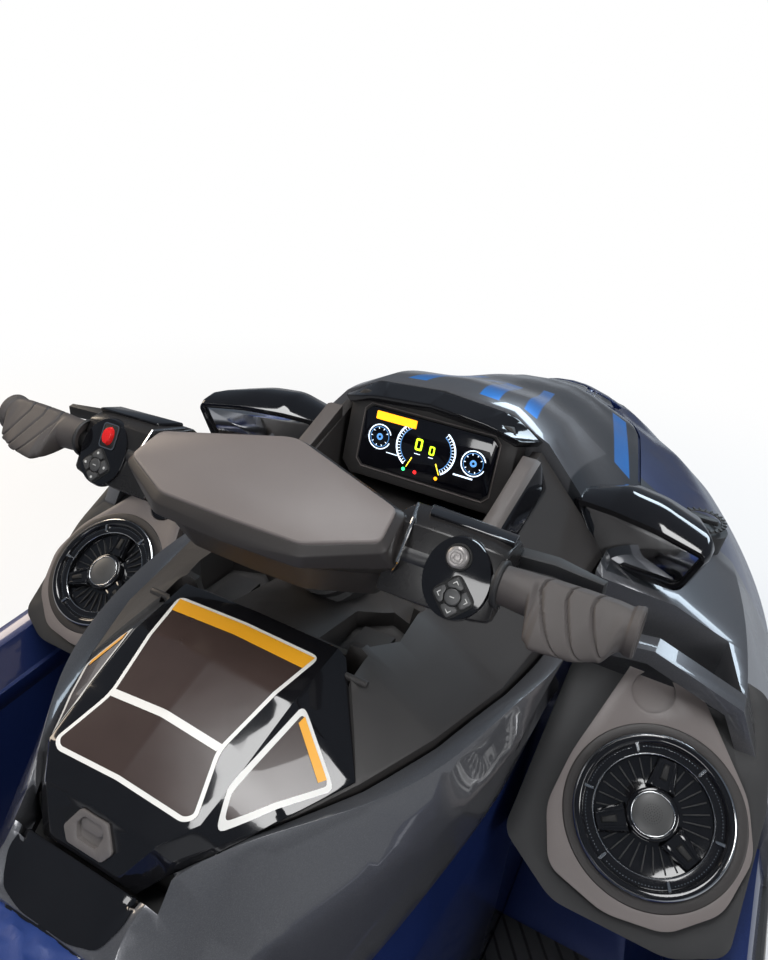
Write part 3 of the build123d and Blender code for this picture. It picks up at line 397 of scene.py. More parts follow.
def moulded(name, color, light, rough=0.5, grain=900.0, depth=0.0004, metallic=0.0):
    # light is the colour of the paler patches.
    m, t, b = blank(name)
    g = use(t, grain_tree, Scale=grain, Blotch=GRAIN_BLOTCH)
    f = use(t, film_tree, Scale=GRAIN_FILM, Amount=1.0)
    t.links.new(blend_color(t, g.outputs["Mottle"], color, light), b.inputs["Base Color"])
    t.links.new(ramp(t, f.outputs["Film"], rough, rough + DULLER), b.inputs["Roughness"])
    raise_surface(t, b, g.outputs["Height"], GRAIN_BUMP, depth)
    b.inputs["Metallic"].default_value = metallic
    return m


print("moulded plastic ready")

# %% [markdown]
# Gel coat is coloured resin with metal flake in it, under a clear layer that gives a
# second, sharper reflection. The shader's own coat makes that layer. Where one moulding
# has two paints, second lists masks with the colours that they bring.

# %% Gel coat
FLAKE_SCALE, GEL_FILM, GEL_DULLER, COAT_ROUGH = 2600.0, 4.0, 0.07, 0.03


def gel_coat(name, color, flake, metallic=0.35, rough=0.32, second=()):
    m, t, b = blank(name)
    s = use(t, flake_tree, Scale=FLAKE_SCALE)
    f = use(t, film_tree, Scale=GEL_FILM, Amount=1.0)
    out = blend_color(t, s.outputs["Flake"], color, flake)
    if second:
        spot = place(t)
        for mask, other, other_flake in second:
            paint = blend_color(t, s.outputs["Flake"], other, other_flake)
            out = blend_color(t, mask(t, spot), out, paint)
    t.links.new(out, b.inputs["Base Color"])
    t.links.new(ramp(t, f.outputs["Film"], rough, rough + GEL_DULLER), b.inputs["Roughness"])
    b.inputs["Metallic"].default_value = metallic
    b.inputs["Coat Weight"].default_value = 1.0
    b.inputs["Coat Roughness"].default_value = COAT_ROUGH
    return m


print("gel coat ready")

# %% [markdown]
# Piano black, glass and caps are one solid colour with a deep polish, and bright metal
# is a colour with nothing but reflection. A single even value looks like a toy's, so
# both vary a little in tone and polish.

# %% Gloss and metal


def gloss(name, color, rough=0.06):
    m, t, b = blank(name)
    f = use(t, film_tree, Scale=9.0, Amount=1.0)
    g = use(t, grain_tree, Scale=60.0, Blotch=14.0)
    paler = tuple(c * 1.5 + 0.002 for c in color)
    t.links.new(blend_color(t, g.outputs["Mottle"], color, paler), b.inputs["Base Color"])
    t.links.new(ramp(t, f.outputs["Film"], rough, rough + 0.08), b.inputs["Roughness"])
    b.inputs["Coat Weight"].default_value = 0.6
    b.inputs["Coat Roughness"].default_value = 0.02
    return m


def metal(name, color, rough, grain=260.0):
    m, t, b = blank(name)
    g = use(t, grain_tree, Scale=grain, Blotch=18.0)
    darker = tuple(c * 0.7 for c in color)
    t.links.new(blend_color(t, g.outputs["Mottle"], color, darker), b.inputs["Base Color"])
    t.links.new(ramp(t, g.outputs["Height"], rough - 0.05, rough + 0.12), b.inputs["Roughness"])
    b.inputs["Metallic"].default_value = 1.0
    return m


print("gloss and metal ready")

# %% [markdown]
# Deck mats are foam with parallel grooves cut into it, so that water runs off and feet
# hold. Cut grooves would be thousands of faces. A folded ramp across the mat gives the
# same lands and grooves to the colour and to the bump. The grooves take a darker
# colour, painted shade. They slant one way on each side because the ramp reads Y
# without its sign.

# %% Deck foam
GROOVE_FROM, GROOVE_TO = 0.06, 0.12


def grooved(name, color, deep, pitch, turned_by):
    m, t, b = blank(name)
    g = use(t, grain_tree, Scale=600.0, Blotch=16.0)
    f = use(t, film_tree, Scale=5.0, Amount=1.0)
    x, y, _ = place(t)
    lean = math_node(t, "MULTIPLY", x, math.cos(turned_by))
    lean = math_node(t, "ADD", lean, math_node(t, "MULTIPLY", y, math.sin(turned_by)))
    saw = math_node(t, "PINGPONG", lean, pitch / 2)
    land = ramp(t, saw, 0.0, 1.0, pitch * GROOVE_FROM, pitch * GROOVE_TO)
    base = blend_color(t, g.outputs["Mottle"], color, tuple(c * 1.3 for c in color))
    # The grooves take the darker colour: painted shade.
    t.links.new(blend_color(t, land, deep, base), b.inputs["Base Color"])
    t.links.new(ramp(t, f.outputs["Film"], 0.7, 0.82), b.inputs["Roughness"])
    crumb = math_node(t, "MULTIPLY", g.outputs["Height"], 0.18)
    raise_surface(t, b, math_node(t, "ADD", land, crumb), 0.9, 0.002)
    return m


print("deck foam ready")

# %% [markdown]
# The instrument is lit from behind. Its shapes give off their own light, and a panel is
# never quite even, so a wide mottle dims parts of each shape.

# %% Lit shapes


def glowing(name, color, strength):
    m, t, b = blank(name)
    g = use(t, grain_tree, Scale=90.0, Blotch=30.0)
    dim = tuple(c * 0.82 for c in color)
    shade = blend_color(t, g.outputs["Mottle"], color, dim)
    t.links.new(shade, b.inputs["Emission Color"])
    t.links.new(shade, b.inputs["Base Color"])
    b.inputs["Emission Strength"].default_value = strength
    b.inputs["Roughness"].default_value = 0.3
    return m


print("lit shapes ready")

# %% [markdown]
# The craft has four paints: hull blue, a metallic grey, the hood's near black, and the
# bright blue of the stripes. Each has the colour of its resin and that of its flake.
# The masks below say where they change on the hood, the bow deck and the seat's base.

# %% Paints
NAVY, NAVY_FLAKE = (0.006, 0.014, 0.075), (0.028, 0.055, 0.2)
GREY, GREY_FLAKE = (0.07, 0.073, 0.082), (0.19, 0.19, 0.2)
DARK, DARK_FLAKE = (0.018, 0.02, 0.025), (0.055, 0.06, 0.066)
BLUE, BLUE_FLAKE = (0.002, 0.2, 0.78), (0.02, 0.36, 0.95)
# Where a stripe starts and ends along X, its middle at the start, its drift and half width.
STRIPES = [
    (0.83, 1.1, 0.062, -0.17, 0.016),
    (0.84, 1.16, 0.128, -0.19, 0.011),
    (1.06, 1.39, 0.247, -0.235, 0.016),
]


def seat_base_grey(t, spot):
    # Aft of a line that leans forward as it rises, and above the knee.
    ahead = plane_mask(t, spot, -1.0, 0.0, 0.3, -0.071)
    high = plane_mask(t, spot, 0.0, 0.0, 1.0, 0.34)
    return in_all(t, ahead, high)


def stripe(t, spot, x0, x1, y_at_x0, rate, half):
    # A strip of the hood between x0 and x1 whose middle drifts sideways by rate.
    middle = y_at_x0 - rate * x0
    return in_all(
        t,
        plane_mask(t, spot, 1.0, 0.0, 0.0, x0),
        plane_mask(t, spot, -1.0, 0.0, 0.0, -x1),
        plane_mask(t, spot, -rate, 1.0, 0.0, middle - half),
        plane_mask(t, spot, rate, -1.0, 0.0, -middle - half),
    )


def hood_blue(t, spot):
    return in_any(t, *[stripe(t, spot, *row) for row in STRIPES])


def cowl_grey(t, spot):
    # The cowl over the display is the grey of the side panels, as far as a slanted line.
    rear = plane_mask(t, spot, -1.0, 0.35, 0.0, -0.98)
    inner = plane_mask(t, spot, 0.0, -1.0, 0.0, -0.215)
    return in_all(t, rear, inner)


def bow_navy(t, spot):
    # The bow deck ahead of the mirrors is hull blue.
    return plane_mask(t, spot, 1.0, 0.5, 0.0, 1.25)


def fender_dark(t, spot):
    # The valley between the hood and the fender's ridge is the hood's near black.
    ahead = plane_mask(t, spot, 1.0, 0.0, 0.0, 0.74)
    inner = plane_mask(t, spot, 0.12, -1.0, 0.0, -0.29)
    return in_all(t, ahead, inner)


HOOD_PAINTS = [(cowl_grey, GREY, GREY_FLAKE), (hood_blue, BLUE, BLUE_FLAKE)]
BOW_PAINTS = [(fender_dark, DARK, DARK_FLAKE), (bow_navy, NAVY, NAVY_FLAKE)]
SEAT_BASE_PAINTS = [(seat_base_grey, GREY, GREY_FLAKE)]
print("stripes on each side", len(STRIPES))

# %% [markdown]
# One material for each finish that the frame's record names, so that every CAD node
# finds its own by its slot. After the colour and the colour of paler patches come the
# roughness, the grain's scale and its depth.

# %% Materials of the frame
FINE_GRAIN, SILK_GRAIN, SHALLOW, FAINT = 1100.0, 1500.0, 0.0002, 0.0001
M = {
    "hull_blue": gel_coat("deep blue gel coat", NAVY, NAVY_FLAKE),
    "grey_gloss": gel_coat("metallic grey gel coat", GREY, GREY_FLAKE, 0.5, 0.3),
    "dark_gloss": gel_coat("hood gel coat", DARK, DARK_FLAKE, 0.4, 0.28, HOOD_PAINTS),
    "piano_black": gloss("piano black", (0.004, 0.004, 0.005)),
    "matte_black": moulded("moulded black", (0.014, 0.014, 0.015), (0.022, 0.022, 0.023), 0.5),
    "console_grey": moulded(
        "console grain", (0.024, 0.022, 0.0215), (0.034, 0.031, 0.03), 0.46, FINE_GRAIN
    ),
    "taupe": moulded(
        "warm grey satin", (0.13, 0.112, 0.107), (0.152, 0.132, 0.126), 0.4, SILK_GRAIN, SHALLOW
    ),
    # The darker warm grey of the pad's sides and the loudspeaker flanges is pushed darker still as painted
    # shade.
    "taupe_dark": moulded(
        "warm grey side with painted shade", (0.022, 0.019, 0.018), (0.028, 0.024, 0.023), 0.42, SILK_GRAIN, SHALLOW
    ),
    "bin_black": moulded("bin black", (0.02, 0.02, 0.02), (0.03, 0.03, 0.03), 0.6),
    "latch_grey": moulded("latch grey", (0.11, 0.1, 0.096), (0.13, 0.118, 0.113), 0.3),
    "key_black": moulded("key rubber", (0.03, 0.03, 0.032), (0.042, 0.042, 0.045), 0.45),
    "grip_rubber": moulded("grip rubber", (0.05, 0.043, 0.041), (0.066, 0.057, 0.054), 0.52, 1400.0),
    "rail_rubber": moulded("rail rubber", (0.016, 0.016, 0.017), (0.024, 0.024, 0.025), 0.5),
    "mirror": metal("mirror silver", (0.9, 0.91, 0.93), 0.05),
    "screen": gloss("screen glass", (0.002, 0.002, 0.004), 0.03),
    "bar_metal": moulded("black coated tube", (0.014, 0.014, 0.015), (0.02, 0.02, 0.021), 0.38),
    "pump_metal": metal("cast alloy", (0.42, 0.42, 0.42), 0.4),
    "steel": metal("bright steel", (0.6, 0.6, 0.6), 0.22),
    "engine": moulded("engine block", (0.05, 0.05, 0.05), (0.06, 0.06, 0.06), 0.6),
    "seat_vinyl": moulded("navy vinyl", (0.014, 0.036, 0.16), (0.02, 0.05, 0.2), 0.36, 700.0),
    # The foam's second colour is the painted shade in its grooves.
    "mat_foam": grooved("deck foam", (0.032, 0.033, 0.037), (0.008, 0.008, 0.01), 0.024, 0.9),
}
print("frame finishes", len(M))

# %% [markdown]
# The small parts need a few more finishes that no CAD node has: bright trim, plain
# decals, caps, a satin black, the thread of the seats and the instrument's colours, a
# near black that paints shade in gaps and holes, and a paler grey that paints a
# highlight on the struts.

# %% Materials of the small parts
CHROME = metal("chrome trim", (0.78, 0.79, 0.8), 0.12)
LABEL_FIELD = gloss("label field", (0.035, 0.023, 0.02), 0.2)
LABEL_WHITE = moulded("label white", (0.74, 0.73, 0.7), (0.7, 0.69, 0.66), 0.28, 500.0, FAINT)
LABEL_AMBER = moulded("label amber", (0.85, 0.4, 0.02), (0.8, 0.36, 0.018), 0.3, 500.0, FAINT)
MARK_WHITE = moulded("pale marking", (0.55, 0.55, 0.53), (0.5, 0.5, 0.48), 0.4, 500.0, FAINT)
RED = gloss("red cap", (0.55, 0.012, 0.012), 0.12)
KEY_GREY = moulded("grey key", (0.05, 0.05, 0.05), (0.065, 0.065, 0.065), 0.36, 900.0, SHALLOW)
SILVER = moulded("silver cap", (0.3, 0.28, 0.27), (0.36, 0.34, 0.33), 0.3, 1400.0, SHALLOW, 0.5)
SATIN_BLACK = moulded(
    "satin black", (0.012, 0.011, 0.011), (0.018, 0.017, 0.017), 0.24, SILK_GRAIN, FAINT
)
# A paler warm grey for the struts' upward faces: painted highlight.
STRUT_TOP_HIGHLIGHT = moulded("strut edge painted highlight", (0.085, 0.075, 0.071), (0.1, 0.088, 0.084), 0.4, 1300.0, SHALLOW)
# Near black for gaps, holes and pockets where shade falls: painted shade.
PAINTED_SHADE = moulded("painted gap shade", (0.003, 0.003, 0.003), (0.005, 0.005, 0.005), 0.6)
THREAD = moulded("stitching", (0.09, 0.12, 0.24), (0.12, 0.15, 0.28), 0.6, 1200.0)
PANEL_BLUE = glowing("gauge blue", (0.12, 0.34, 0.75), 0.9)
PANEL_WHITE = glowing("gauge white", (0.75, 0.86, 1.0), 1.6)
PANEL_LIME = glowing("gauge lime", (0.62, 1.0, 0.02), 2.4)
PANEL_AMBER = glowing("gauge amber", (1.0, 0.4, 0.01), 2.0)
PANEL_RED = glowing("gauge red", (1.0, 0.02, 0.02), 2.2)
PANEL_GREEN = glowing("gauge green", (0.05, 1.0, 0.3), 2.2)
PANEL_NEEDLE = glowing("gauge needle", (1.0, 0.75, 0.05), 2.4)
print("materials", len(bpy.data.materials))

# %% [markdown]
# CAD faces meet in knife edges, and real mouldings never do. A weld joins the imported
# faces, a small bevel rounds each edge, and shading goes sharp again only at real
# corners. The mesh could be edited instead, but as modifiers all three leave the
# frame's own points where they were packed.

# %% Rounded edges
WELD_DISTANCE, SHARP_DEGREES, BEVEL_DEGREES = 0.00002, 31, 28
smooth_tree = bpy.data.node_groups.new("shade by angle", "GeometryNodeTree")
for way in ("INPUT", "OUTPUT"):
    smooth_tree.interface.new_socket("Geometry", in_out=way, socket_type="NodeSocketGeometry")
sn, sl = smooth_tree.nodes, smooth_tree.links
s_in = sn.new("NodeGroupInput")
s_out = sn.new("NodeGroupOutput")
edge_angle = sn.new("GeometryNodeInputMeshEdgeAngle")
compare = sn.new("FunctionNodeCompare")
compare.operation = "LESS_THAN"
compare.inputs[1].default_value = math.radians(SHARP_DEGREES)
faces_smooth = sn.new("GeometryNodeSetShadeSmooth")
faces_smooth.domain = "FACE"
edges_smooth = sn.new("GeometryNodeSetShadeSmooth")
edges_smooth.domain = "EDGE"
sl.new(edge_angle.outputs["Unsigned Angle"], compare.inputs[0])
sl.new(s_in.outputs[0], faces_smooth.inputs["Geometry"])
sl.new(faces_smooth.outputs[0], edges_smooth.inputs["Geometry"])
sl.new(compare.outputs[0], edges_smooth.inputs["Shade Smooth"])
sl.new(edges_smooth.outputs[0], s_out.inputs[0])


def round_edges(obj, width, segments=2):
    weld = obj.modifiers.new("weld", "WELD")
    weld.merge_threshold = WELD_DISTANCE
    if width:
        bevel = obj.modifiers.new("bevel", "BEVEL")
        bevel.width = width
        bevel.segments = segments
        bevel.limit_method = "ANGLE"
        bevel.angle_limit = math.radians(BEVEL_DEGREES)
        bevel.use_clamp_overlap = True
        bevel.miter_outer = "MITER_ARC"
    shade = obj.modifiers.new("shade", "NODES")
    shade.node_group = smooth_tree


print("sharp from", SHARP_DEGREES, "degrees")

# %% [markdown]
# Big mouldings have bigger radii than small ones, so the bevel is chosen by the node,
# and what isn't named gets the radius of a small part.

# %% Dress the CAD nodes
SMALL_BEVEL = 0.0012
BEVELS = {
    0.001: ["footwell_mats", "rear_mat"],
    0.002: ["struts", "display_pod", "pod_base"],
    0.003: [
        "front_body", "hood", "console", "body_cover",
        "visor", "glove_lid", "speaker_pods", "ride_plate",
    ],
    0.004: ["hull", "deck"],
    0.006: ["grab_handle", "grab_base", "bow_bumper", "stern_bumper"],
}
bevel_of = {name: width for width, names in BEVELS.items() for name in names}
slot_of = {s["node"]: s["material_slot"] for s in frame["record"]["subparts"]}
for name, obj in nodes.items():
    obj.data.materials.clear()
    obj.data.materials.append(M[slot_of[name]])
    round_edges(obj, bevel_of.get(name, SMALL_BEVEL))
print("dressed", len(nodes), "CAD nodes")

# %% [markdown]
# Two CAD nodes carry more than one paint. The block under the seat is grey above and
# hull blue below, and the bow deck turns from grey fenders to a blue nose with a near
# black valley beside the hood. Both are painted by masks in the object's own place.

# %% Two-colour paint
nodes["pedestal"].data.materials[0] = gel_coat(
    "seat base gel coat", NAVY, NAVY_FLAKE, second=SEAT_BASE_PAINTS
)
nodes["front_body"].data.materials[0] = gel_coat(
    "bow gel coat", GREY, GREY_FLAKE, 0.5, 0.3, BOW_PAINTS
)
print("painted pedestal and front_body")

# %% [markdown]
# The small parts lie on leaning faces. Working their corners out in the craft's own
# axes would hide what they are, so each part is drawn in millimetres in a frame that
# lies on its face. Outlines are lists of flat points in that frame.

# %% Frames and outlines
MM, DOWN = 0.001, Vector((0, 0, -1))
STARBOARD = Matrix.Diagonal((1, -1, 1, 1))


def facing(origin, x_along, out):
    # A frame at origin with X along x_along and Z out of the face, in millimetres.
    z = Vector(out).normalized()
    x = Vector(x_along)
    x = (x - z * x.dot(z)).normalized()
    y = z.cross(x)
    m = Matrix((x, y, z)).transposed().to_4x4()
    return Matrix.Translation(Vector(origin) * MM) @ m @ Matrix.Scale(MM, 4)


def turn_steps(a0, a1, count):
    # Angles from a0 to a1 degrees. A whole turn leaves out the one that closes it.
    whole_turn = abs(a1 - a0 - 360.0) < 0.01
    rows = count if whole_turn else count + 1
    return [math.radians(a0 + (a1 - a0) * i / count) for i in range(rows)]


def circle(r, count, cu=0.0, cv=0.0, squeeze=1.0):
    steps = turn_steps(0.0, 360.0, count)
    return [(cu + r * math.cos(a), cv + r * squeeze * math.sin(a)) for a in steps]


def box_outline(u0, v0, u1, v1):
    return [(u0, v0), (u1, v0), (u1, v1), (u0, v1)]


def turned(outline, degrees):
    a = math.radians(degrees)
    c, s = math.cos(a), math.sin(a)
    return [(u * c - v * s, u * s + v * c) for u, v in outline]


def flipped(outline):
    return [(x, -y) for x, y in outline]


def across(half):
    # The whole outline from its port half.
    return half + flipped(half)[::-1]


print("outline helpers ready")

# %% [markdown]
# Real corners are round, and a border keeps its width all the way round. inset moves
# every side in by the same distance, which scaling an outline doesn't do, and rounded
# puts a short arc in place of each corner.

# %% Inset and rounded outlines
PARALLEL = 1e-6


def inset(outline, by):
    # The same polygon with each side moved in by that much. It runs either way round.
    pairs = list(zip(outline, outline[1:] + outline[:1]))
    area = sum(x0 * y1 - x1 * y0 for (x0, y0), (x1, y1) in pairs)
    turn_way = 1.0 if area > 0 else -1.0
    lines = []
    for (x0, y0), (x1, y1) in pairs:
        length = math.hypot(x1 - x0, y1 - y0)
        nx, ny = -(y1 - y0) / length * turn_way, (x1 - x0) / length * turn_way
        lines.append((nx, ny, nx * x0 + ny * y0 + by))
    out = []
    for i, (x, y) in enumerate(outline):
        a1, b1, c1 = lines[i - 1]
        a2, b2, c2 = lines[i]
        det = a1 * b2 - a2 * b1
        if abs(det) < PARALLEL:
            out.append((x + a2 * by, y + b2 * by))
        else:
            out.append(((c1 * b2 - c2 * b1) / det, (a1 * c2 - a2 * c1) / det))
    return out


def rounded(outline, radius, steps=4):
    n = len(outline)
    out = []
    for i in range(n):
        p = Vector(outline[i])
        a = Vector(outline[i - 1]) - p
        b = Vector(outline[(i + 1) % n]) - p
        r = min(radius, 0.45 * a.length, 0.45 * b.length)
        p0, p1 = p + a.normalized() * r, p + b.normalized() * r
        for k in range(steps + 1):
            t = k / steps
            q = p0 * (1 - t) ** 2 + p * (2 * t * (1 - t)) + p1 * t**2
            out.append((q.x, q.y))
    return out


print("corner helpers ready")

# %% [markdown]
# A piece such as a loudspeaker has hundreds of small shapes. As objects they would be
# slow and hard to move together, so a Parts object gathers prisms, turned rings, tubes
# and skins into one mesh with a material for each kind. Starboard parts are the port
# ones mirrored.

# %% Parts


def walls(n, low, high):
    # Faces between two loops of n points that start at low and at high.
    return [[low + k, low + (k + 1) % n, high + (k + 1) % n, high + k] for k in range(n)]


def flat_at(outline, height):
    return [(u, v, height) for u, v in outline]


class Parts:
    def __init__(self):
        self.verts = []
        self.faces = []
        self.kinds = []

    def add(self, at, verts, faces, kind=0):
        start = len(self.verts)
        self.verts += [at @ Vector(v) for v in verts]
        self.faces += [[start + i for i in f] for f in faces]
        self.kinds += [kind] * len(faces)

    def sheet(self, at, outline, height, kind):
        self.add(at, flat_at(outline, height), [list(range(len(outline)))], kind)

    def band(self, at, outer, inner, height, kind):
        # A flat strip between two outlines of as many points.
        n = len(outer)
        self.add(at, flat_at(outer, height) + flat_at(inner, height), walls(n, 0, n), kind)

    def prism(self, at, outline, d0, d1, kind=0, shrink=0.0):
        # shrink pulls the far outline towards its middle, for a bevelled key.
        n = len(outline)
        cu = sum(p[0] for p in outline) / n
        cv = sum(p[1] for p in outline) / n
        k = 1.0 - shrink
        far = [(cu + (u - cu) * k, cv + (v - cv) * k) for u, v in outline]
        faces = walls(n, 0, n) + [list(range(n, 2 * n)), list(range(n - 1, -1, -1))]
        self.add(at, flat_at(outline, d0) + flat_at(far, d1), faces, kind)

    def ring(self, at, profile, count, kind=0, a0=0.0, a1=360.0):
        # profile is a list of (radius, height) turned round Z from a0 to a1 degrees.
        steps = turn_steps(a0, a1, count)
        verts = [(r * math.cos(a), r * math.sin(a), h) for a in steps for r, h in profile]
        m = len(profile)
        faces = []
        for i in range(count):
            a, b = i * m, ((i + 1) % len(steps)) * m
            faces += [[a + j, b + j, b + j + 1, a + j + 1] for j in range(m - 1)]
        self.add(at, verts, faces, kind)

    def tube(self, path, radius, kind=0, sides=8, loop=False, up=(0, 0, 1)):
        # A round rod along a list of points in metres.
        pts = [Vector(p) for p in path]
        n = len(pts)
        verts, faces = [], []
        for i, p in enumerate(pts):
            before = pts[i - 1] if (loop or i) else p
            after = pts[(i + 1) % n] if (loop or i < n - 1) else p
            along = (after - before).normalized()
            side = along.cross(Vector(up))
            side = side.normalized() if side.length > PARALLEL else Vector((1, 0, 0))
            lift = side.cross(along)
            for a in turn_steps(0.0, 360.0, sides):
                verts.append(p + side * (radius * math.cos(a)) + lift * (radius * math.sin(a)))
        for i in range(n if loop else n - 1):
            faces += walls(sides, i * sides, ((i + 1) % n) * sides)
        if not loop:
            faces += [list(range(sides - 1, -1, -1)), [(n - 1) * sides + k for k in range(sides)]]
        self.add(Matrix.Identity(4), verts, faces, kind)

    def skin(self, rings, kind=0, capped=True):
        # A surface through closed outlines that have as many points each.
        n = len(rings[0])
        faces = []
        for i in range(len(rings) - 1):
            faces += walls(n, i * n, (i + 1) * n)
        if capped:
            last = (len(rings) - 1) * n
            faces += [list(range(n - 1, -1, -1)), [last + k for k in range(n)]]
        self.add(Matrix.Identity(4), [p for ring in rings for p in ring], faces, kind)

    def mirrored(self):
        # The same again across the centreline.
        n = len(self.verts)
        self.verts += [Vector((v.x, -v.y, v.z)) for v in self.verts]
        self.faces += [[n + i for i in reversed(f)] for f in self.faces]
        self.kinds += self.kinds

    def make(self, name, body, materials, width=0.0, segments=2):
        mesh = bpy.data.meshes.new(name)
        mesh.from_pydata([tuple(v) for v in self.verts], [], self.faces)
        for m in materials:
            mesh.materials.append(m)
        mesh.polygons.foreach_set("material_index", self.kinds)
        bm = bmesh.new()
        bm.from_mesh(mesh)
        bmesh.ops.recalc_face_normals(bm, faces=bm.faces)
        bm.to_mesh(mesh)
        bm.free()
        obj = bpy.data.objects.new(name, mesh)
        scene.collection.objects.link(obj)
        round_edges(obj, width, segments)
        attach(obj, body)
        print(name, len(mesh.polygons), "faces")
        return obj


print("parts ready")

# %% [markdown]
# The grips are soft rubber. Each one is slim where it leaves the housing, opens into a
# broad rest for the palm that droops towards the seat, and ends in a flange with a
# hollow. Three nested grooves bend like chevrons over its top. Sculpting would give the
# shape too, but one formula for the radius keeps both grips the same and puts the
# grooves where they belong.

# %% Grip shape
BAR_X, BAR_Z = 0.345, 0.867
# How far out along the bar, radius ahead, radius above, reach towards the seat.
GRIP_ROWS = [
    (0.2685, 0.0190, 0.0190, 0.0190),
    (0.2960, 0.0200, 0.0200, 0.0215),
    (0.3055, 0.0208, 0.0206, 0.0450),
    (0.3130, 0.0215, 0.0210, 0.0510),
    (0.3450, 0.0220, 0.0215, 0.0480),
    (0.3700, 0.0215, 0.0215, 0.0400),
    (0.3840, 0.0205, 0.0205, 0.0230),
    (0.3870, 0.0225, 0.0225, 0.0240),
    (0.3925, 0.0235, 0.0235, 0.0245),
    (0.3945, 0.0225, 0.0225, 0.0232),
]
HOLLOW = [(0.3946, 0.0195), (0.3925, 0.0175), (0.3870, 0.0155), (0.3840, 0.0020)]
# Where each groove turns its corner, and how far its long leg runs outwards.
GROOVES = [(0.305, 0.041), (0.329, 0.034), (0.352, 0.027)]
GROOVE_HALF, GROOVE_DEPTH, SHORT_LEG = 0.0016, 0.0022, 0.011
CORNER_AT, LEG_TOP, LEG_BOTTOM = 100.0, 40.0, 205.0
# The rest is full where it reaches this much further back than it is high.
FULL_REST, REST_THIN, DROOP = 0.02, 0.35, math.radians(20)


def smooth_row(rows, x):
    # Reads a table whose first column is x, with eased steps between its rows.
    if x <= rows[0][0]:
        return rows[0][1:]
    for a, b in zip(rows, rows[1:]):
        if x <= b[0]:
            t = (x - a[0]) / (b[0] - a[0])
            t = t * t * (3 - 2 * t)
            return tuple(p + (q - p) * t for p, q in zip(a[1:], b[1:]))
    return rows[-1][1:]


def groove_cut(y, degrees):
    for corner, leg in GROOVES:
        if degrees < CORNER_AT:
            middle = corner + SHORT_LEG * (CORNER_AT - degrees) / (CORNER_AT - LEG_TOP)
        else:
            middle = corner + leg * (degrees - CORNER_AT) / (LEG_BOTTOM - CORNER_AT)
        near = abs(y - middle) / GROOVE_HALF
        if near < 1.0 and LEG_TOP < degrees < LEG_BOTTOM:
            return GROOVE_DEPTH * (1 - near * near)
    return 0.0


def grip_point(y, a):
    # The angle is 0 ahead, 90 on top and 180 on the seat's side.
    ahead, above, reach = smooth_row(GRIP_ROWS, y)
    cut = groove_cut(y, math.degrees(a))
    c, s = math.cos(a), math.sin(a)
    rest = min(1.0, (reach - above) / FULL_REST)
    if c > 0:
        return (BAR_X + (ahead - cut) * c, y, BAR_Z + (above - cut) * s)
    x = (reach - cut) * c
    thin = 1.0 + REST_THIN * c * rest
    return (BAR_X + x, y, BAR_Z + (above * thin - cut) * s + math.sin(DROOP) * x * rest)


print("palm rest reaches", round(max(row[3] for row in GRIP_ROWS) * 1000), "mm")

# %% [markdown]
# The grip's skin runs through rings of 96 points, 0.9 mm apart, which is just fine
# enough for the walls of the grooves. The hollow at its end is four more rings.

# %% Grips
AROUND, STEP = 96, 0.0009
turns = turn_steps(0.0, 360.0, AROUND)


def bar_ring(y, r, angles):
    return [(BAR_X + r * math.cos(a), y, BAR_Z + r * math.sin(a)) for a in angles]


stations = [GRIP_ROWS[0][0]]
while stations[-1] < GRIP_ROWS[-1][0] - STEP / 2:
    stations.append(min(stations[-1] + STEP, GRIP_ROWS[-1][0]))
grips = Parts()
grips.skin([[grip_point(y, a) for a in turns] for y in stations] + [bar_ring(y, r, turns) for y, r in HOLLOW])
grips.mirrored()
grip_piece = grips.make("grip_covers", "bars", [M["grip_rubber"]])
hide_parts("grips")

# %% [markdown]
# Each switch housing is one moulding from the pad to the grip: a sloping face for the
# switches, a flat top that turns into a polished wing along the front, and a collar at
# the grip. One section is carried along the bar and shrinks at the grip's end, as a
# moulding does that has to leave its tool.

# %% Switch housings
# How far out, then how much the section grows.
HOUSING_STEPS = [(0.150, 1.05), (0.200, 1.05), (0.246, 1.0), (0.262, 0.93), (0.2665, 0.86)]
HOUSING_MIDDLE = (0.357, 0.868)
HOUSING_FACE = [
    (0.316, 0.836),
    (0.352, 0.8945),
    (0.370, 0.8960),
    (0.401, 0.8870),
    (0.4125, 0.8740),
    (0.404, 0.846),
    (0.362, 0.828),
    (0.327, 0.826),
]
# The wing's corners in plan and height, and how far it stands over them and below.
WING = [(0.3715, 0.176, 0.8985), (0.4035, 0.166, 0.8895), (0.3985, 0.262, 0.8880), (0.3700, 0.266, 0.8965)]
WING_OVER, WING_UNDER = 0.0022, 0.004
COLLAR_Y = 0.2670
COLLAR = [(0.0225, -0.0045), (0.0235, -0.003), (0.0235, 0.0005), (0.021, 0.0015), (0.018, 0.0015)]


def housing_ring(y, grow):
    mx, mz = HOUSING_MIDDLE
    return [(mx + (x - mx) * grow, y, mz + (z - mz) * grow) for x, z in HOUSING_FACE]


housings = Parts()
housings.skin([housing_ring(y, grow) for y, grow in HOUSING_STEPS])
housings.skin([[(x, y, z - WING_UNDER) for x, y, z in WING], [(x, y, z + WING_OVER) for x, y, z in WING]], 1)
housings.skin([bar_ring(COLLAR_Y + d, r, turns[::2]) for r, d in COLLAR], 2, False)
housings.mirrored()
housing_finishes = [SATIN_BLACK, M["piano_black"], M["matte_black"]]
housing_piece = housings.make("switch_housings", "bars", housing_finishes, 0.0016, 3)
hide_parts("bar_housings")

# %% [markdown]
# Starboard has a round ribbed button in satin silver over a four-way key with chevrons.
# Port has a red oval button in a bright frame over a plainer four-way key. Both keys
# are rounded diamonds split by a cross of fine gaps, so one quarter is drawn and
# turned four times. An oval lobe in deeper black carries each pair.

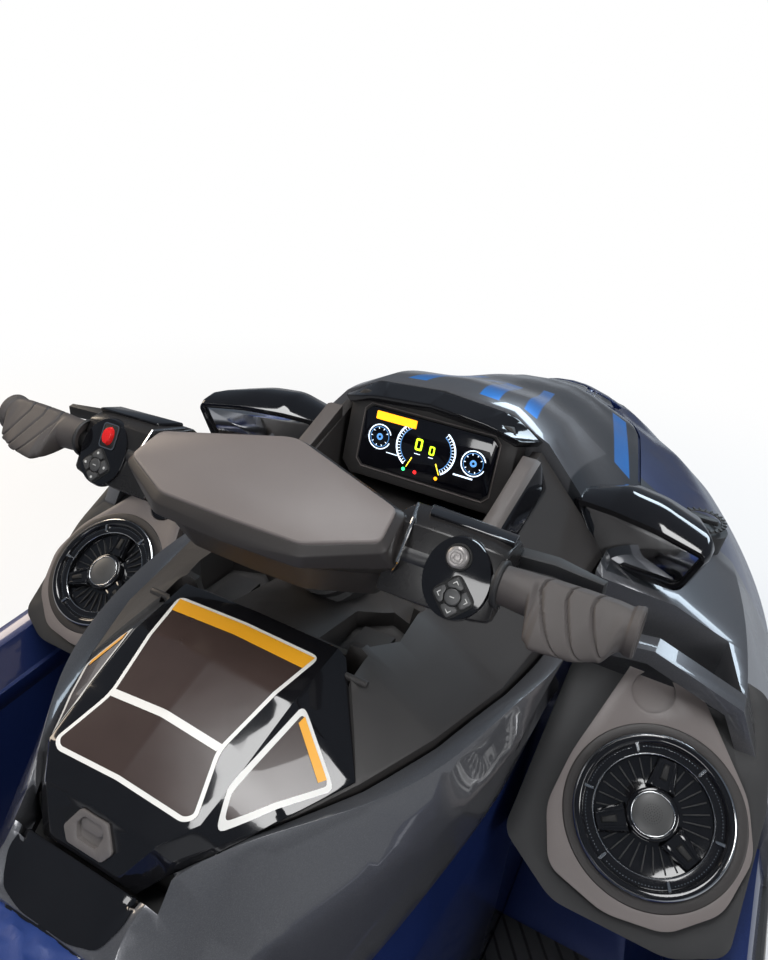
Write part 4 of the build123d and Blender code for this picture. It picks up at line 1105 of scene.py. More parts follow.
# %% Switch shapes
# In this frame X is outboard and Y is down the face, so the key lies below the button.
lobe = facing((332, 226, 867), (0, 1, 0), (-0.85, 0, 0.527))
KEY_AT, BUTTON_AT, ON_LOBE = (3, 18.5), (-3, -18.5), 1.0
LOBE_R, LOBE_STRETCH, LOBE_SHIFT = 35.0, 1.18, 1
KEY_PLATE, KEY_HALF, KEY_GAP, KEY_LOW, KEY_TOP = 24, 22.0, 1.4, 0.6, 3.4
# The corners of a key's quarter next to the centre key.
CENTRE_SIDE, CENTRE_TIP = 7.2, 9.4
BUTTON_SEAT = [(13.5, 0.2), (13.2, 1.6), (11.4, 1.8), (11.2, 0.4)]
DOME_RIBS = [(9.4 - 1.5 * j, 7.8 + (0.5 if j % 2 else 0.0)) for j in range(6)]
DOME = [(10.6, 0.4), (10.6, 6.0), (10.0, 7.2)] + DOME_RIBS + [(0.01, 8.0)]
FRAME_U, FRAME_V, FRAME_WIDE = 12, 15, 1.4
# The near black under the keys and round the buttons is painted shade in their gaps.
GREY_K, WHITE_K, RED_K, GAP_SHADE_K, SILVER_K, CHROME_K, LOBE_K = range(7)
SWITCH_FINISHES = [KEY_GREY, MARK_WHITE, RED, PAINTED_SHADE, SILVER, CHROME, M["piano_black"]]


def key_quarter(half, gap):
    # One quarter of the diamond, hollowed round the centre key.
    far, near = half / 2, CENTRE_SIDE
    outline = [(half - 1, 0), (far, far - gap), (near, near - gap)]
    outline += [(CENTRE_TIP, 0), (near, gap - near), (far, gap - far)]
    return rounded(outline, 3.0, 3)


def chevron(at, size, width):
    tip = at + size
    outline = [(tip, 0), (at, size), (at - width, size)]
    return outline + [(tip - width * 1.2, 0), (at - width, -size), (at, -size)]


print("lobe", 2 * LOBE_R, "mm wide")

# %% [markdown]
# With the shapes at hand, each switch is a short stack of prisms and turned rings. The
# marks are raised by a third of a millimetre in their own pale finish, as pad printing
# on rubber looks.

# %% Switches
switches = Parts()


def four_way_key(at, mark):
    diamond = [(KEY_PLATE, 0), (0, KEY_PLATE), (-KEY_PLATE, 0), (0, -KEY_PLATE)]
    switches.prism(at, rounded(diamond, 8, 4), -2, KEY_LOW, GAP_SHADE_K)
    for k in range(4):
        quarter = turned(key_quarter(KEY_HALF, KEY_GAP), 90 * k)
        switches.prism(at, quarter, KEY_LOW, KEY_TOP, GREY_K, 0.08)
        switches.prism(at, turned(mark, 90 * k), KEY_TOP, KEY_TOP + 0.3, WHITE_K)
    switches.ring(at, [(8.0, KEY_LOW), (8.0, 3.0), (7.2, 3.8), (0.01, 4.1)], 28, GREY_K)
    switches.prism(at, box_outline(-2.4, -0.5, 2.4, 0.5), 4.0, 4.3, WHITE_K)


def ribbed_button(at):
    switches.ring(at, BUTTON_SEAT, 32, GAP_SHADE_K)
    switches.ring(at, DOME, 36, SILVER_K)


def framed_button(at):
    outer = box_outline(-FRAME_U, -FRAME_V, FRAME_U, FRAME_V)
    frame_out, frame_in = rounded(outer, 5, 4), rounded(inset(outer, FRAME_WIDE), 4, 4)
    switches.prism(at, frame_out, -2.0, 1.2, GAP_SHADE_K)
    switches.band(at, frame_out, frame_in, 1.5, CHROME_K)
    switches.prism(at, circle(7.5, 24, squeeze=1.5), 1.2, 6.4, RED_K, 0.22)


for base, mark, button in (
    (lobe, circle(1.7, 8, 14.5), framed_button),
    (STARBOARD @ lobe, chevron(13.2, 2.8, 1.2), ribbed_button),
):
    switches.prism(base, circle(LOBE_R, 56, 0, LOBE_SHIFT, LOBE_STRETCH), -6, 1.2, LOBE_K, 0.05)
    four_way_key(base @ Matrix.Translation((*KEY_AT, ON_LOBE)), mark)
    button(base @ Matrix.Translation((*BUTTON_AT, ON_LOBE)))
switch_piece = switches.make("switches", "bars", SWITCH_FINISHES, 0.0005, 2)
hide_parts("bar_keys")

# %% [markdown]
# The pad over the bar is a long six-sided block of foam in a moulded skin. Its light
# plate leans towards the seat, the sides are undercut and their darker warm grey holds
# painted shade, and the bevel along the front is polished. Five outlines of as many
# points make the body, so the edges run on from one to the next without a twist.

# %% Bar pad
# Port half of each outline in plan, from the front. The plate lies on a leaning plane.
PLATE = [(0.398, 0.0), (0.396, 0.012), (0.350, 0.151), (0.309, 0.156), (0.277, 0.086), (0.276, 0.0)]
SHOULDER = [(0.407, 0.0), (0.404, 0.017), (0.357, 0.158), (0.306, 0.163), (0.270, 0.090), (0.268, 0.0)]
WAIST = [(0.436, 0.0), (0.432, 0.066), (0.402, 0.160), (0.318, 0.168), (0.268, 0.090), (0.264, 0.0)]
TUCK = [(0.430, 0.0), (0.425, 0.060), (0.392, 0.152), (0.330, 0.152), (0.296, 0.082), (0.292, 0.0)]
FOOT = [(0.418, 0.0), (0.414, 0.055), (0.378, 0.140), (0.338, 0.140), (0.306, 0.072), (0.304, 0.0)]
PLATE_X, PLATE_Z, PLATE_LEAN, PAD_CORNER = 0.278, 0.884, 0.3, 0.007
# The plate's upper edge is drawn in towards this point of the centreline.
PLATE_MIDDLE, EDGE_IN = 0.337, 0.985
FRONT_NORMAL, FRONT_OVER = 0.3, 0.85


def level(z):
    return lambda x: z


def leaning(drop_by):
    return lambda x: PLATE_Z + PLATE_LEAN * (x - PLATE_X) - drop_by


def pad_ring(half, z_of):
    whole = half + flipped(half[1:-1])[::-1]
    return [(x, y, z_of(x)) for x, y in rounded(whole, PAD_CORNER, 3)]


pad_rings = [(PLATE, leaning(0.0010)), (SHOULDER, leaning(0.0075))]
pad_rings += [(WAIST, level(0.862)), (TUCK, level(0.842)), (FOOT, level(0.806))]
pad_body = Parts()
pad_body.skin([pad_ring(*row) for row in pad_rings])
pad_finishes = [M["taupe_dark"], SATIN_BLACK]
pad_piece = pad_body.make("bar_pad_body", "bars", pad_finishes, 0.0015, 3)
for face in pad_piece.data.polygons:
    if face.normal.x > FRONT_NORMAL and face.center.z > FRONT_OVER:
        face.material_index = 1
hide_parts("bar_pad")
drawn_in = [(x * EDGE_IN + PLATE_MIDDLE * (1 - EDGE_IN), y * EDGE_IN) for x, y in PLATE]
plate_rings = [(PLATE, leaning(0.002)), (PLATE, leaning(-0.0008)), (drawn_in, leaning(-0.002))]
plate = Parts()
plate.skin([pad_ring(*row) for row in plate_rings])
plate_piece = plate.make("bar_pad_plate", "bars", [M["taupe"]], 0.0005, 2)
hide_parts("bar_pad_cap")

# %% [markdown]
# Trim on the bar: a bright strip round each end of the pad, and two socket screws in
# the shroud below it. Small bright lines like these tell the eye where one moulding
# ends, so they are real rods and rings and not paint.

# %% Bar trim
PAD_END = [
    (0.3920, 0.1540, 0.893),
    (0.3540, 0.1670, 0.9005),
    (0.3175, 0.1700, 0.872),
    (0.3260, 0.1600, 0.846),
]
STRIP_R, SCREW_Y = 0.0018, 34
SCREW = [(7.5, -8), (7.5, 1.5), (6.5, 2.4), (4.2, 2.4), (4.0, -1.0), (0.01, -1.0)]
trim = Parts()
trim.tube(PAD_END, STRIP_R)
trim.mirrored()
for y in (-SCREW_Y, SCREW_Y):
    trim.ring(facing((372, y, 786), (0, 1, 0), (-0.9, 0, -0.3)), SCREW, 24, 1)
trim.make("bar_trim", "bars", [CHROME, M["matte_black"]])

# %% [markdown]
# Each mirror is a long low cowl that leans out of the hood's flank and grows into a
# four-sided mirror. The rim is sharp, the glass sits inside it, and the cowl behind it
# falls away towards the bow. The outlines are drawn on planes across the mirror, from
# the rim forward, since a designer's sections of such a shell lie that way too.

# %% Mirror cowls
MIRROR_AT = Vector((0.80, 0.233, 0.0))
ALONG, AHEAD = Vector((-0.364, 0.931, 0.0)), Vector((0.931, 0.364, 0.0))
RIM = [
    (-0.010, 0.722), (0.060, 0.7335), (0.130, 0.7395), (0.2035, 0.7375),
    (0.208, 0.728), (0.185, 0.664), (0.053, 0.637),
]
RIM_AHEAD, RIM_WIDE, RECESS, WELL_DRAFT, COWL_CORNER = -0.005, 0.0085, 0.004, 0.001, 0.013
# How far ahead of the mirror's plane, then the outline as run along it and height.
COWL = [
    (RIM_AHEAD, RIM),
    (0.008, [
        (-0.018, 0.722), (0.060, 0.740), (0.130, 0.746), (0.2030, 0.7410),
        (0.209, 0.728), (0.184, 0.662), (0.047, 0.636),
    ]),
    (0.030, [
        (-0.036, 0.716), (0.055, 0.748), (0.125, 0.752), (0.1950, 0.7440),
        (0.203, 0.728), (0.176, 0.668), (0.038, 0.645),
    ]),
    (0.048, [
        (-0.047, 0.706), (0.045, 0.748), (0.110, 0.751), (0.1800, 0.7420),
        (0.190, 0.726), (0.165, 0.676), (0.030, 0.654),
    ]),
    (0.085, [
        (-0.035, 0.702), (0.040, 0.738), (0.095, 0.741), (0.1480, 0.7330),
        (0.158, 0.721), (0.138, 0.688), (0.020, 0.668),
    ]),
    (0.110, [
        (0.000, 0.702), (0.040, 0.718), (0.075, 0.720), (0.1080, 0.7140),
        (0.114, 0.708), (0.100, 0.694), (0.030, 0.686),
    ]),
]


def mirror_ring(ahead, outline):
    corners = rounded(outline, COWL_CORNER, 4)
    return [MIRROR_AT + ALONG * s + AHEAD * ahead + Vector((0, 0, z)) for s, z in corners]


cowls = Parts()
well = [mirror_ring(RECESS, inset(RIM, RIM_WIDE + WELL_DRAFT)), mirror_ring(RIM_AHEAD, inset(RIM, RIM_WIDE))]
cowls.skin(well + [mirror_ring(*row) for row in COWL])
cowls.mirrored()
cowl_piece = cowls.make("mirror_cowls", "storage_lid", [M["piano_black"]], 0.0012, 3)
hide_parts("mirror_shells")

# %% [markdown]
# The glass is its own piece, a little smaller than the well, so that a dark line shows
# round it as it does where glass sits in a shell.

# %% Mirror glass
PANE_GAP, PANE_BACK, PANE_FACE = 0.0016, RECESS - 0.0004, 0.0
pane = inset(RIM, RIM_WIDE + PANE_GAP)
mirrors = Parts()
mirrors.skin([mirror_ring(PANE_BACK, pane), mirror_ring(PANE_FACE, pane)])
mirrors.mirrored()
mirror_piece = mirrors.make("mirror_panes", "storage_lid", [M["mirror"]], 0.0006, 2)
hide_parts("mirror_glass")

# %% [markdown]
# Decals lie on moulded faces and bend with them. A shrinkwrap would do it, but its
# result hangs on the points it starts from. Here each outline in plan is cut into a
# grid and every point is dropped on to a search tree of the mesh below, then lifted by
# a fraction of a millimetre along that face's normal.

# %% Dropping outlines on to a surface
DROP_FROM, MISSED_Z = 1.2, 0.6


def tree_of(objects):
    # One search tree over the meshes of these objects, with their modifiers.
    graph = bpy.context.evaluated_depsgraph_get()
    verts, faces = [], []
    for obj in objects:
        shown = obj.evaluated_get(graph)
        mesh = shown.to_mesh()
        start = len(verts)
        verts += [obj.matrix_world @ v.co for v in mesh.vertices]
        faces += [[start + i for i in p.vertices] for p in mesh.polygons]
        shown.to_mesh_clear()
    return BVHTree.FromPolygons(verts, faces)


def below(tree, x, y):
    # The first point of the tree under x, y, and the normal there.
    hit, normal, _, _ = tree.ray_cast(Vector((x, y, DROP_FROM)), DOWN)
    return hit, normal


def grid(outline, cell):
    # The outline cut along both axes into cells of about that size.
    bm = bmesh.new()
    bm.faces.new([bm.verts.new((x, y, 0)) for x, y in outline])
    for axis in (0, 1):
        low = min(p[axis] for p in outline)
        high = max(p[axis] for p in outline)
        count = max(1, int((high - low) / cell))
        for k in range(1, count):
            co, no = [0, 0, 0], [0, 0, 0]
            co[axis], no[axis] = low + (high - low) * k / count, 1
            geom = bm.verts[:] + bm.edges[:] + bm.faces[:]
            bmesh.ops.bisect_plane(bm, geom=geom, plane_co=co, plane_no=no)
    bmesh.ops.triangulate(bm, faces=bm.faces[:])
    bm.verts.index_update()
    return bm


def drop(tree, outline, cell, lift):
    # Vertices and faces that lie on the tree, from an outline in plan in metres.
    bm = grid(outline, cell)
    out = []
    for v in bm.verts:
        hit, normal = below(tree, v.co.x, v.co.y)
        if hit is None:
            hit, normal = Vector((v.co.x, v.co.y, MISSED_Z)), Vector((0, 0, 1))
        out.append(hit + normal * lift)
    faces = [[v.index for v in f.verts] for f in bm.faces]
    bm.free()
    return out, faces


print("decal helpers ready")

# %% [markdown]
# The lid carries three plain decals: a brown field with a pale border, an amber header
# and a pale divider in the middle, and a four-sided one on each flank. The border is a
# strip of its own, because a field that runs on below it would show through at every
# fold.

# %% Labels on the glove box lid
# The lid's own are port halves in plan, from the front. The others are on the port side.
LID_FIELD = [(0.301, 0.097), (0.165, 0.072), (0.108, 0.09), (0.1, 0.08)]
LID_BAND = [(0.2970, 0.0925), (0.2785, 0.0888)]
LID_DIVIDER = [(0.171, 0.070), (0.163, 0.0685)]
LID_SIDE = [(0.246, 0.113), (0.142, 0.098), (0.113, 0.106), (0.2165, 0.1685)]
SIDE_STRIP = [(0.2385, 0.1185), (0.2170, 0.1590), (0.2085, 0.1540), (0.2295, 0.1170)]
BORDER, FIELD_ROUND, SIDE_ROUND, CELL = 0.0042, 0.011, 0.008, 0.0045
FIELD_LIFT, BAR_LIFT, LID_Z = 0.0006, 0.0011, 0.66
FIELD_K, WHITE_BAR_K, AMBER_BAR_K = range(3)
lid_tree = tree_of([nodes["glove_lid"]])
labels = Parts()


def lay(outline, lift, kind):
    labels.add(Matrix.Identity(4), *drop(lid_tree, outline, CELL, lift), kind)


def laid_line(outline, counts):
    # Points along the outline, so many to each side, on the lid.
    row = []
    for p, q, pieces in zip(outline, outline[1:] + outline[:1], counts):
        for k in range(pieces):
            spot = Vector(p).lerp(Vector(q), k / pieces)
            hit, normal = below(lid_tree, spot.x, spot.y)
            if hit is None:
                hit, normal, _, _ = lid_tree.find_nearest(Vector((spot.x, spot.y, LID_Z)))
            row.append(hit + normal * FIELD_LIFT)
    return row


def lay_border(outer, inner):
    # A strip between two outlines that have as many points, both laid on the lid.
    pairs = zip(outer, outer[1:] + outer[:1])
    counts = [max(1, int((Vector(q) - Vector(p)).length / CELL)) for p, q in pairs]
    outside, inside = laid_line(outer, counts), laid_line(inner, counts)
    n = len(outside)
    labels.add(Matrix.Identity(4), outside + inside, walls(n, 0, n), WHITE_BAR_K)


for outline, corner in (
    (across(LID_FIELD), FIELD_ROUND),
    (LID_SIDE, SIDE_ROUND),
    (flipped(LID_SIDE), SIDE_ROUND),
):
    inner = rounded(inset(outline, BORDER), corner - BORDER * 0.6)
    lay_border(rounded(outline, corner), inner)
    lay(inner, FIELD_LIFT, FIELD_K)
lay(across(LID_BAND), BAR_LIFT, AMBER_BAR_K)
lay(across(LID_DIVIDER), BAR_LIFT, WHITE_BAR_K)
for outline in (SIDE_STRIP, flipped(SIDE_STRIP)):
    lay(outline, BAR_LIFT, AMBER_BAR_K)
label_finishes = [LABEL_FIELD, LABEL_WHITE, LABEL_AMBER]
labels.make("lid_labels", "glove_box_lid", label_finishes)

# %% [markdown]
# The instrument is switched on. A picture on the glass would blur close up, so its
# image is a set of flat lit shapes two millimetres over the glass: arcs, ticks,
# needles, plain figures, a banner and tell-tales.

# %% Instrument shapes
GLASS_OUT = (-0.955, 0, 0.297)
glass = facing((747, 0, 757), (0, -1, 0), GLASS_OUT)
LIFT = 1.9
WHITE, SKY, LIME, AMBER, RED_L, GREEN_L, NEEDLE = range(7)
GLOWS = [PANEL_WHITE, PANEL_BLUE, PANEL_LIME, PANEL_AMBER, PANEL_RED, PANEL_GREEN, PANEL_NEEDLE]
panel = Parts()


def arc(cu, cv, r0, r1, a0, a1, kind):
    panel.ring(glass @ Matrix.Translation((cu, cv, 0)), [(r0, LIFT), (r1, LIFT)], 28, kind, a0, a1)


def moved(outline, cu, cv):
    return [(cu + u, cv + v) for u, v in outline]


def ticks(cu, cv, r0, r1, a0, a1, count, width, kind):
    for k in range(count):
        tick = turned(box_outline(r0, -width, r1, width), a0 + (a1 - a0) * k / (count - 1))
        panel.sheet(glass, moved(tick, cu, cv), LIFT + 0.1, kind)


def figure_zero(cu, cv, w, h, t):
    # A plain nought, w and h to each side of its middle and t thick.
    outer = box_outline(cu - w, cv - h, cu + w, cv + h)
    panel.band(glass, rounded(outer, w * 0.6, 4), rounded(inset(outer, t), w * 0.3, 4), LIFT, LIME)


def bar(u0, v0, u1, v1):
    panel.sheet(glass, box_outline(u0, v0, u1, v1), LIFT, WHITE)


print("instrument shapes ready")

# %% [markdown]
# Two big arcs open towards the middle, with a needle each. A small round gauge stands
# at either end, two noughts between the arcs, the banner above and three tell-tales
# below. What lies over something else is lifted a little more.

# %% Instrument picture
ARC_MID, ARC_V, ARC_HALF, TICK_HALF = 12.0, 2, 58, 56
NEEDLE_SHAPE = [(20, -0.9), (38, -0.5), (38, 0.5), (20, 0.9)]
ROUND_MID, ROUND_V = 80.0, 1
BANNER = box_outline(-92, 28, -22, 41)
TELL_TALES = ((-30.0, GREEN_L), (-10.0, RED_L), (26.0, AMBER))
for side, middle, needle_at in ((-1, 180, 248), (1, 0, -62)):
    cu = side * ARC_MID
    arc(cu, ARC_V, 36, 38.6, middle - ARC_HALF, middle + ARC_HALF, WHITE)
    arc(cu, ARC_V, 30, 31, middle - ARC_HALF, middle + ARC_HALF, SKY)
    ticks(cu, ARC_V, 31.5, 35.4, middle - TICK_HALF, middle + TICK_HALF, 15, 0.5, WHITE)
    needle = moved(turned(NEEDLE_SHAPE, needle_at), cu, ARC_V)
    panel.sheet(glass, needle, LIFT + 0.3, NEEDLE)
for cu in (-ROUND_MID, ROUND_MID):
    arc(cu, ROUND_V, 18.5, 20.2, 20, 340, WHITE)
    arc(cu, ROUND_V, 15.5, 16.2, 0, 360, SKY)
    ticks(cu, ROUND_V, 12.5, 15.2, 30, 330, 9, 0.6, WHITE)
    arc(cu, ROUND_V, 2.2, 5.4, 0, 360, SKY)
figure_zero(-12.0, 6.0, 6.0, 9.4, 3.0)
figure_zero(11.0, 2.0, 4.6, 7.0, 2.3)
bar(-17.0, -9.6, -7.0, -8.4)
bar(7.0, -9.6, 15.0, -8.4)
panel.sheet(glass, rounded(BANNER, 1.5, 3), LIFT + 0.5, AMBER)
for cu, kind in TELL_TALES:
    panel.sheet(glass, circle(3.0, 14, cu, -38.0), LIFT, kind)
bar(-64, -21, -44, -19.6)
bar(52, -24, 84, -21.6)
panel.make("instrument_picture", "storage_lid", GLOWS)

# %% [markdown]
# A thin pale line runs round the glass, on the pod's face. It is a tube along the
# glass's outline, a little larger.

# %% Display rim
RIM_OUTLINE = [(113, 38), (103, 48), (-103, 48), (-113, 38), (-113, -42), (-103, -52), (103, -52), (113, -42)]
RIM_GROW_U, RIM_GROW_V, RIM_UP, RIM_LIFT, RIM_R = 1.015, 1.03, 0.5, 0.4, 0.0009
rim = Parts()
rim_path = [glass @ Vector((u * RIM_GROW_U, v * RIM_GROW_V + RIM_UP, RIM_LIFT)) for u, v in RIM_OUTLINE]
rim.tube(rim_path, RIM_R, 0, 6, True, GLASS_OUT)
rim.make("display_rim", "storage_lid", [M["taupe"]])

# %% [markdown]
# A loudspeaker is turned work: a warm grey flange, a gloss bezel with a fine bright
# line, a black ring that falls to the ribbed cone, a hub, and a dust cap in fine mesh.
# Each profile is a list of radius and height in millimetres, turned round the axis.

# %% Loudspeaker profiles
pod = facing((493, 454, 502), (0, -1, 0), (-0.62, 0, 0.785))
MATTE_K, GLOSS_K, BRIGHT_K, HOLE_SHADE_K, WARM_K, FLANGE_K = range(6)
# The near black of the mesh holes and the spoke slots is painted shade.
SPEAKER_FINISHES = [M["matte_black"], M["piano_black"], CHROME, PAINTED_SHADE, KEY_GREY, M["taupe_dark"]]
# The flange takes the darker warm grey, whose colour holds painted shade.
FLANGE = [(93, -3), (93, 0.4), (95, 1.2), (105.5, 1.2), (107, 0.2), (107, -3)]
BEZEL_OUTSIDE = [(94.5, -16), (94.5, 5.4), (93.2, 7.6), (90.5, 8.9)]
BEZEL = BEZEL_OUTSIDE + [(86.0, 8.2), (82.6, 5.2), (81.4, 2.6), (81.4, -12)]
BEZEL_LINE = [(93.9, 7.2), (92.9, 8.3), (91.6, 8.9)]
DOT_RING = [(81.6, 2.2), (70.5, 2.2), (69.0, 1.2), (69.0, -9.0), (52, -12.5), (31, -9.5), (29.5, -4.0)]
INNER_LINE = [(70.9, 2.3), (70.2, 3.0), (69.4, 2.3)]
HUB = [(31.0, -8.0), (31.0, 2.0), (29.5, 3.8), (27.0, 4.6), (25.5, 3.6)]
CAP_LINE = [(26.4, 4.6), (25.6, 6.3), (24.6, 6.4), (24.0, 5.6)]
DUST_CAP = [(24.2, 5.0), (22.0, 5.9), (14.0, 7.0), (7.0, 7.5), (0.01, 7.7)]
TURNED = (
    (FLANGE, FLANGE_K),
    (BEZEL, GLOSS_K),
    (BEZEL_LINE, BRIGHT_K),
    (DOT_RING, GLOSS_K),
    (INNER_LINE, BRIGHT_K),
    (HUB, GLOSS_K),
    (CAP_LINE, BRIGHT_K),
    (DUST_CAP, WARM_K),
)
print("profiles", len(TURNED))

# %% [markdown]
# On the turned rings sit a row of bright perforations that stops at six clips, three
# stepped spokes over the cone, the cone's ribs and the mesh of the dust cap. Real holes
# would need a very fine mesh, so each hole of the cap's mesh and the slot in each spoke
# is a near-black sheet, painted shade, and each perforation is a small bright disc.

# %% Loudspeakers
DOT_ROW_R, DOTS, DOT_R, DOT_TOP, CLEAR_OF_CLIP = 78.8, 132, 0.7, 2.35, 4.0
CLIP = [(72, -1.6), (84, -2.2), (85, 2.2), (72, 1.6)]
SPOKE = [(29, -18), (70, -12), (70, 12), (29, 18)]
SPOKE_SLOT = [(42, -4.5), (62, -3.4), (62, 3.4), (42, 4.5)]
RIB = [(34, -0.8), (68, -1.1), (68, 1.1), (34, 0.8)]
CLIPS, SPOKES, SPOKE_TURN, RIBS = 6, 3, 90, 30
MESH_ROWS, MESH_PITCH, MESH_TOP, MESH_FALL = 8, 2.7, 7.75, 0.032
speaker = Parts()


def spread_round(at, count, start=0.0):
    # The frame at turned to each of count places.
    return [at @ Matrix.Rotation(math.radians(start + 360 / count * k), 4, "Z") for k in range(count)]


def on_circle(r, count):
    return [(r * math.cos(a), r * math.sin(a)) for a in turn_steps(0.0, 360.0, count)]


def from_clip(degrees):
    # How far this direction is from the nearest clip.
    step = 360.0 / CLIPS
    return abs((degrees + step / 2) % step - step / 2)


def perforations(at):
    for k, (u, v) in enumerate(on_circle(DOT_ROW_R, DOTS)):
        if from_clip(360.0 * k / DOTS) > CLEAR_OF_CLIP:
            speaker.sheet(at, circle(DOT_R, 6, u, v), DOT_TOP, BRIGHT_K)


def spoke(at):
    speaker.prism(at, SPOKE, -6.0, 0.6, GLOSS_K, 0.14)
    for s in (-1, 1):
        edge = [(31, s * 9.5), (68, s * 6.0), (68, s * 8.5), (31, s * 12.5)]
        speaker.prism(at, edge, 0.2, 2.6, GLOSS_K, 0.1)
    speaker.prism(at, SPOKE_SLOT, 0.2, 3.2, HOLE_SHADE_K, 0.2)


def cap_mesh(at):
    for row in range(1, MESH_ROWS + 1):
        for u, v in on_circle(MESH_PITCH * row, 6 * row):
            speaker.sheet(at, circle(DOT_R, 5, u, v), MESH_TOP - MESH_FALL * row * row, HOLE_SHADE_K)


for at in (pod, STARBOARD @ pod):
    for profile, kind in TURNED:
        speaker.ring(at, profile, 96, kind)
    perforations(at)
    for clip in spread_round(at, CLIPS):
        speaker.prism(clip, rounded(CLIP, 1.5, 3), 1.0, 7.4, BRIGHT_K, 0.12)
    for arm in spread_round(at, SPOKES, SPOKE_TURN):
        spoke(arm)
    for rib in spread_round(at, RIBS):
        speaker.prism(rib, RIB, -13.0, -8.6, MATTE_K, 0.1)
    cap_mesh(at)
speaker_piece = speaker.make("loudspeakers", "craft", SPEAKER_FINISHES, 0.0004, 1)
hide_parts("speakers", "speaker_grilles", "speaker_caps")

# %% [markdown]
# The keypad on the port pod is a black dish with four round rubber keys, each with a
# short pale mark. It uses the pod's own frame, so it stays flush with it.

# %% Keypad
KEYPAD_AT, KEYS, KEYS_R = (41, 141, 0), 4, 12.4
DISH = [(25.5, -3.0), (25.5, 0.6), (24.0, 1.4), (22.6, 0.4), (0.01, 0.4)]
ROUND_KEY = [(7.4, 0.4), (7.2, 2.2), (6.2, 3.0), (0.01, 3.2)]
dish = pod @ Matrix.Translation(KEYPAD_AT)
keypad = Parts()
keypad.ring(dish, DISH, 48)
for a in turn_steps(45, 405, KEYS):
    key = dish @ Matrix.Translation((KEYS_R * math.cos(a), KEYS_R * math.sin(a), 0))
    keypad.ring(key, ROUND_KEY, 22, 1)
    keypad.prism(key, box_outline(-2.6, -0.9, 2.6, 0.9), 3.1, 3.4, 2)
keypad_finishes = [M["piano_black"], KEY_GREY, MARK_WHITE]
keypad_piece = keypad.make("pod_keys", "craft", keypad_finishes, 0.0003, 2)
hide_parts("pod_keypad")

# %% [markdown]
# The struts beside the display take a paler colour on their upward faces, a painted
# highlight along the top edge, and are polished down the outer side. A mask by place
# would cut across their slanted edges, so here the faces say which is which, by their
# normals: only the material of a face changes.

# %% Struts
STRUT_UP, STRUT_OUT = 0.45, 0.5
struts = nodes["struts"].data
struts.materials.append(STRUT_TOP_HIGHLIGHT)
struts.materials.append(M["piano_black"])
for face in struts.polygons:
    outward = math.copysign(1.0, face.center.y) * face.normal.y
    if face.normal.z > STRUT_UP:
        face.material_index = 1
    elif outward > STRUT_OUT:
        face.material_index = 2
print("struts painted")

# %% [markdown]
# The console's pocket behind the lid and the seam round the lid's rear end are dark
# inside, since no light gets there, so the faces that lie in that box take a near-black
# material: painted shade.

# %% Lid seam
SEAM_LOW, SEAM_HIGH = Vector((0.03, -0.11, 0.59)), Vector((0.34, 0.11, 0.66))
console = nodes["console"].data
console.materials.append(PAINTED_SHADE)
for face in console.polygons:
    if all(low < c < high for low, c, high in zip(SEAM_LOW, face.center, SEAM_HIGH)):
        face.material_index = 1
print("lid seam darkened")

# %% [markdown]
# Seats are foam under marine vinyl. A bevelled block looks hard however round it is,
# because foam crowns between its seams. So each cushion starts as a remeshed copy of
# its solid and is blown up by a cloth simulation that is held at its base. How far a
# point may move is capped, which keeps the cushion inside the solid's room.

# %% Cushion helper
VOXEL, FRAMES, CAP, SHRINK, HELD_HIGH, HELD_DOWN = 0.006, 20, 0.010, 0.004, 0.03, -0.5
# The front edge of the vinyl is tucked under the shield and runs forward at its sides.
FRONT_FROM, FRONT_LONG, TUCK_BY, SIDE_FROM, SIDE_RATE = -0.12, 0.115, 0.022, 0.06, 0.5
CLOTH = {
    "quality": 4,
    "mass": 0.4,
    "tension_stiffness": 20,
    "compression_stiffness": 20,
    "shear_stiffness": 8,
    "bending_stiffness": 1.5,
    "use_pressure": True,
    "uniform_pressure_force": 4.0,
    "vertex_group_mass": "held",
}


def applied(obj):
    # The mesh with its modifiers made real.
    graph = bpy.context.evaluated_depsgraph_get()
    mesh = bpy.data.meshes.new_from_object(obj.evaluated_get(graph))
    obj.modifiers.clear()
    obj.data = mesh
    return mesh


def smoothed(obj, iterations):
    obj.modifiers.new("smooth", "SMOOTH").iterations = iterations
    return applied(obj)


def tuck(mesh):
    for v in mesh.vertices:
        v.co -= v.normal * SHRINK
        share = max(0.0, v.co.x - FRONT_FROM) / FRONT_LONG
        v.co.x += share * share * (TUCK_BY + SIDE_RATE * max(0.0, abs(v.co.y) - SIDE_FROM))


def inflate(obj, floor_z):
    # Cloth with air inside. Low points and those that face down are held.
    held = obj.vertex_groups.new(name=CLOTH["vertex_group_mass"])
    low = [v.index for v in obj.data.vertices if v.co.z < floor_z or v.normal.z < HELD_DOWN]
    held.add(low, 1.0, "REPLACE")
    cloth = obj.modifiers.new("cloth", "CLOTH")
    cloth.point_cache.frame_end = FRAMES
    for key, value in CLOTH.items():
        setattr(cloth.settings, key, value)
    cloth.settings.effector_weights.gravity = 0.0
    cloth.collision_settings.use_collision = False
    for f in range(1, FRAMES + 1):
        scene.frame_set(f)
    blown = applied(obj)
    scene.frame_set(1)
    obj.vertex_groups.clear()
    return blown


print("cushion helpers ready")

# %% [markdown]
# The steps for each cushion are: copy, remesh, smooth, shrink by what the cloth will
# add, tuck the front edge, inflate, cap and smooth once more.

# %% Seats


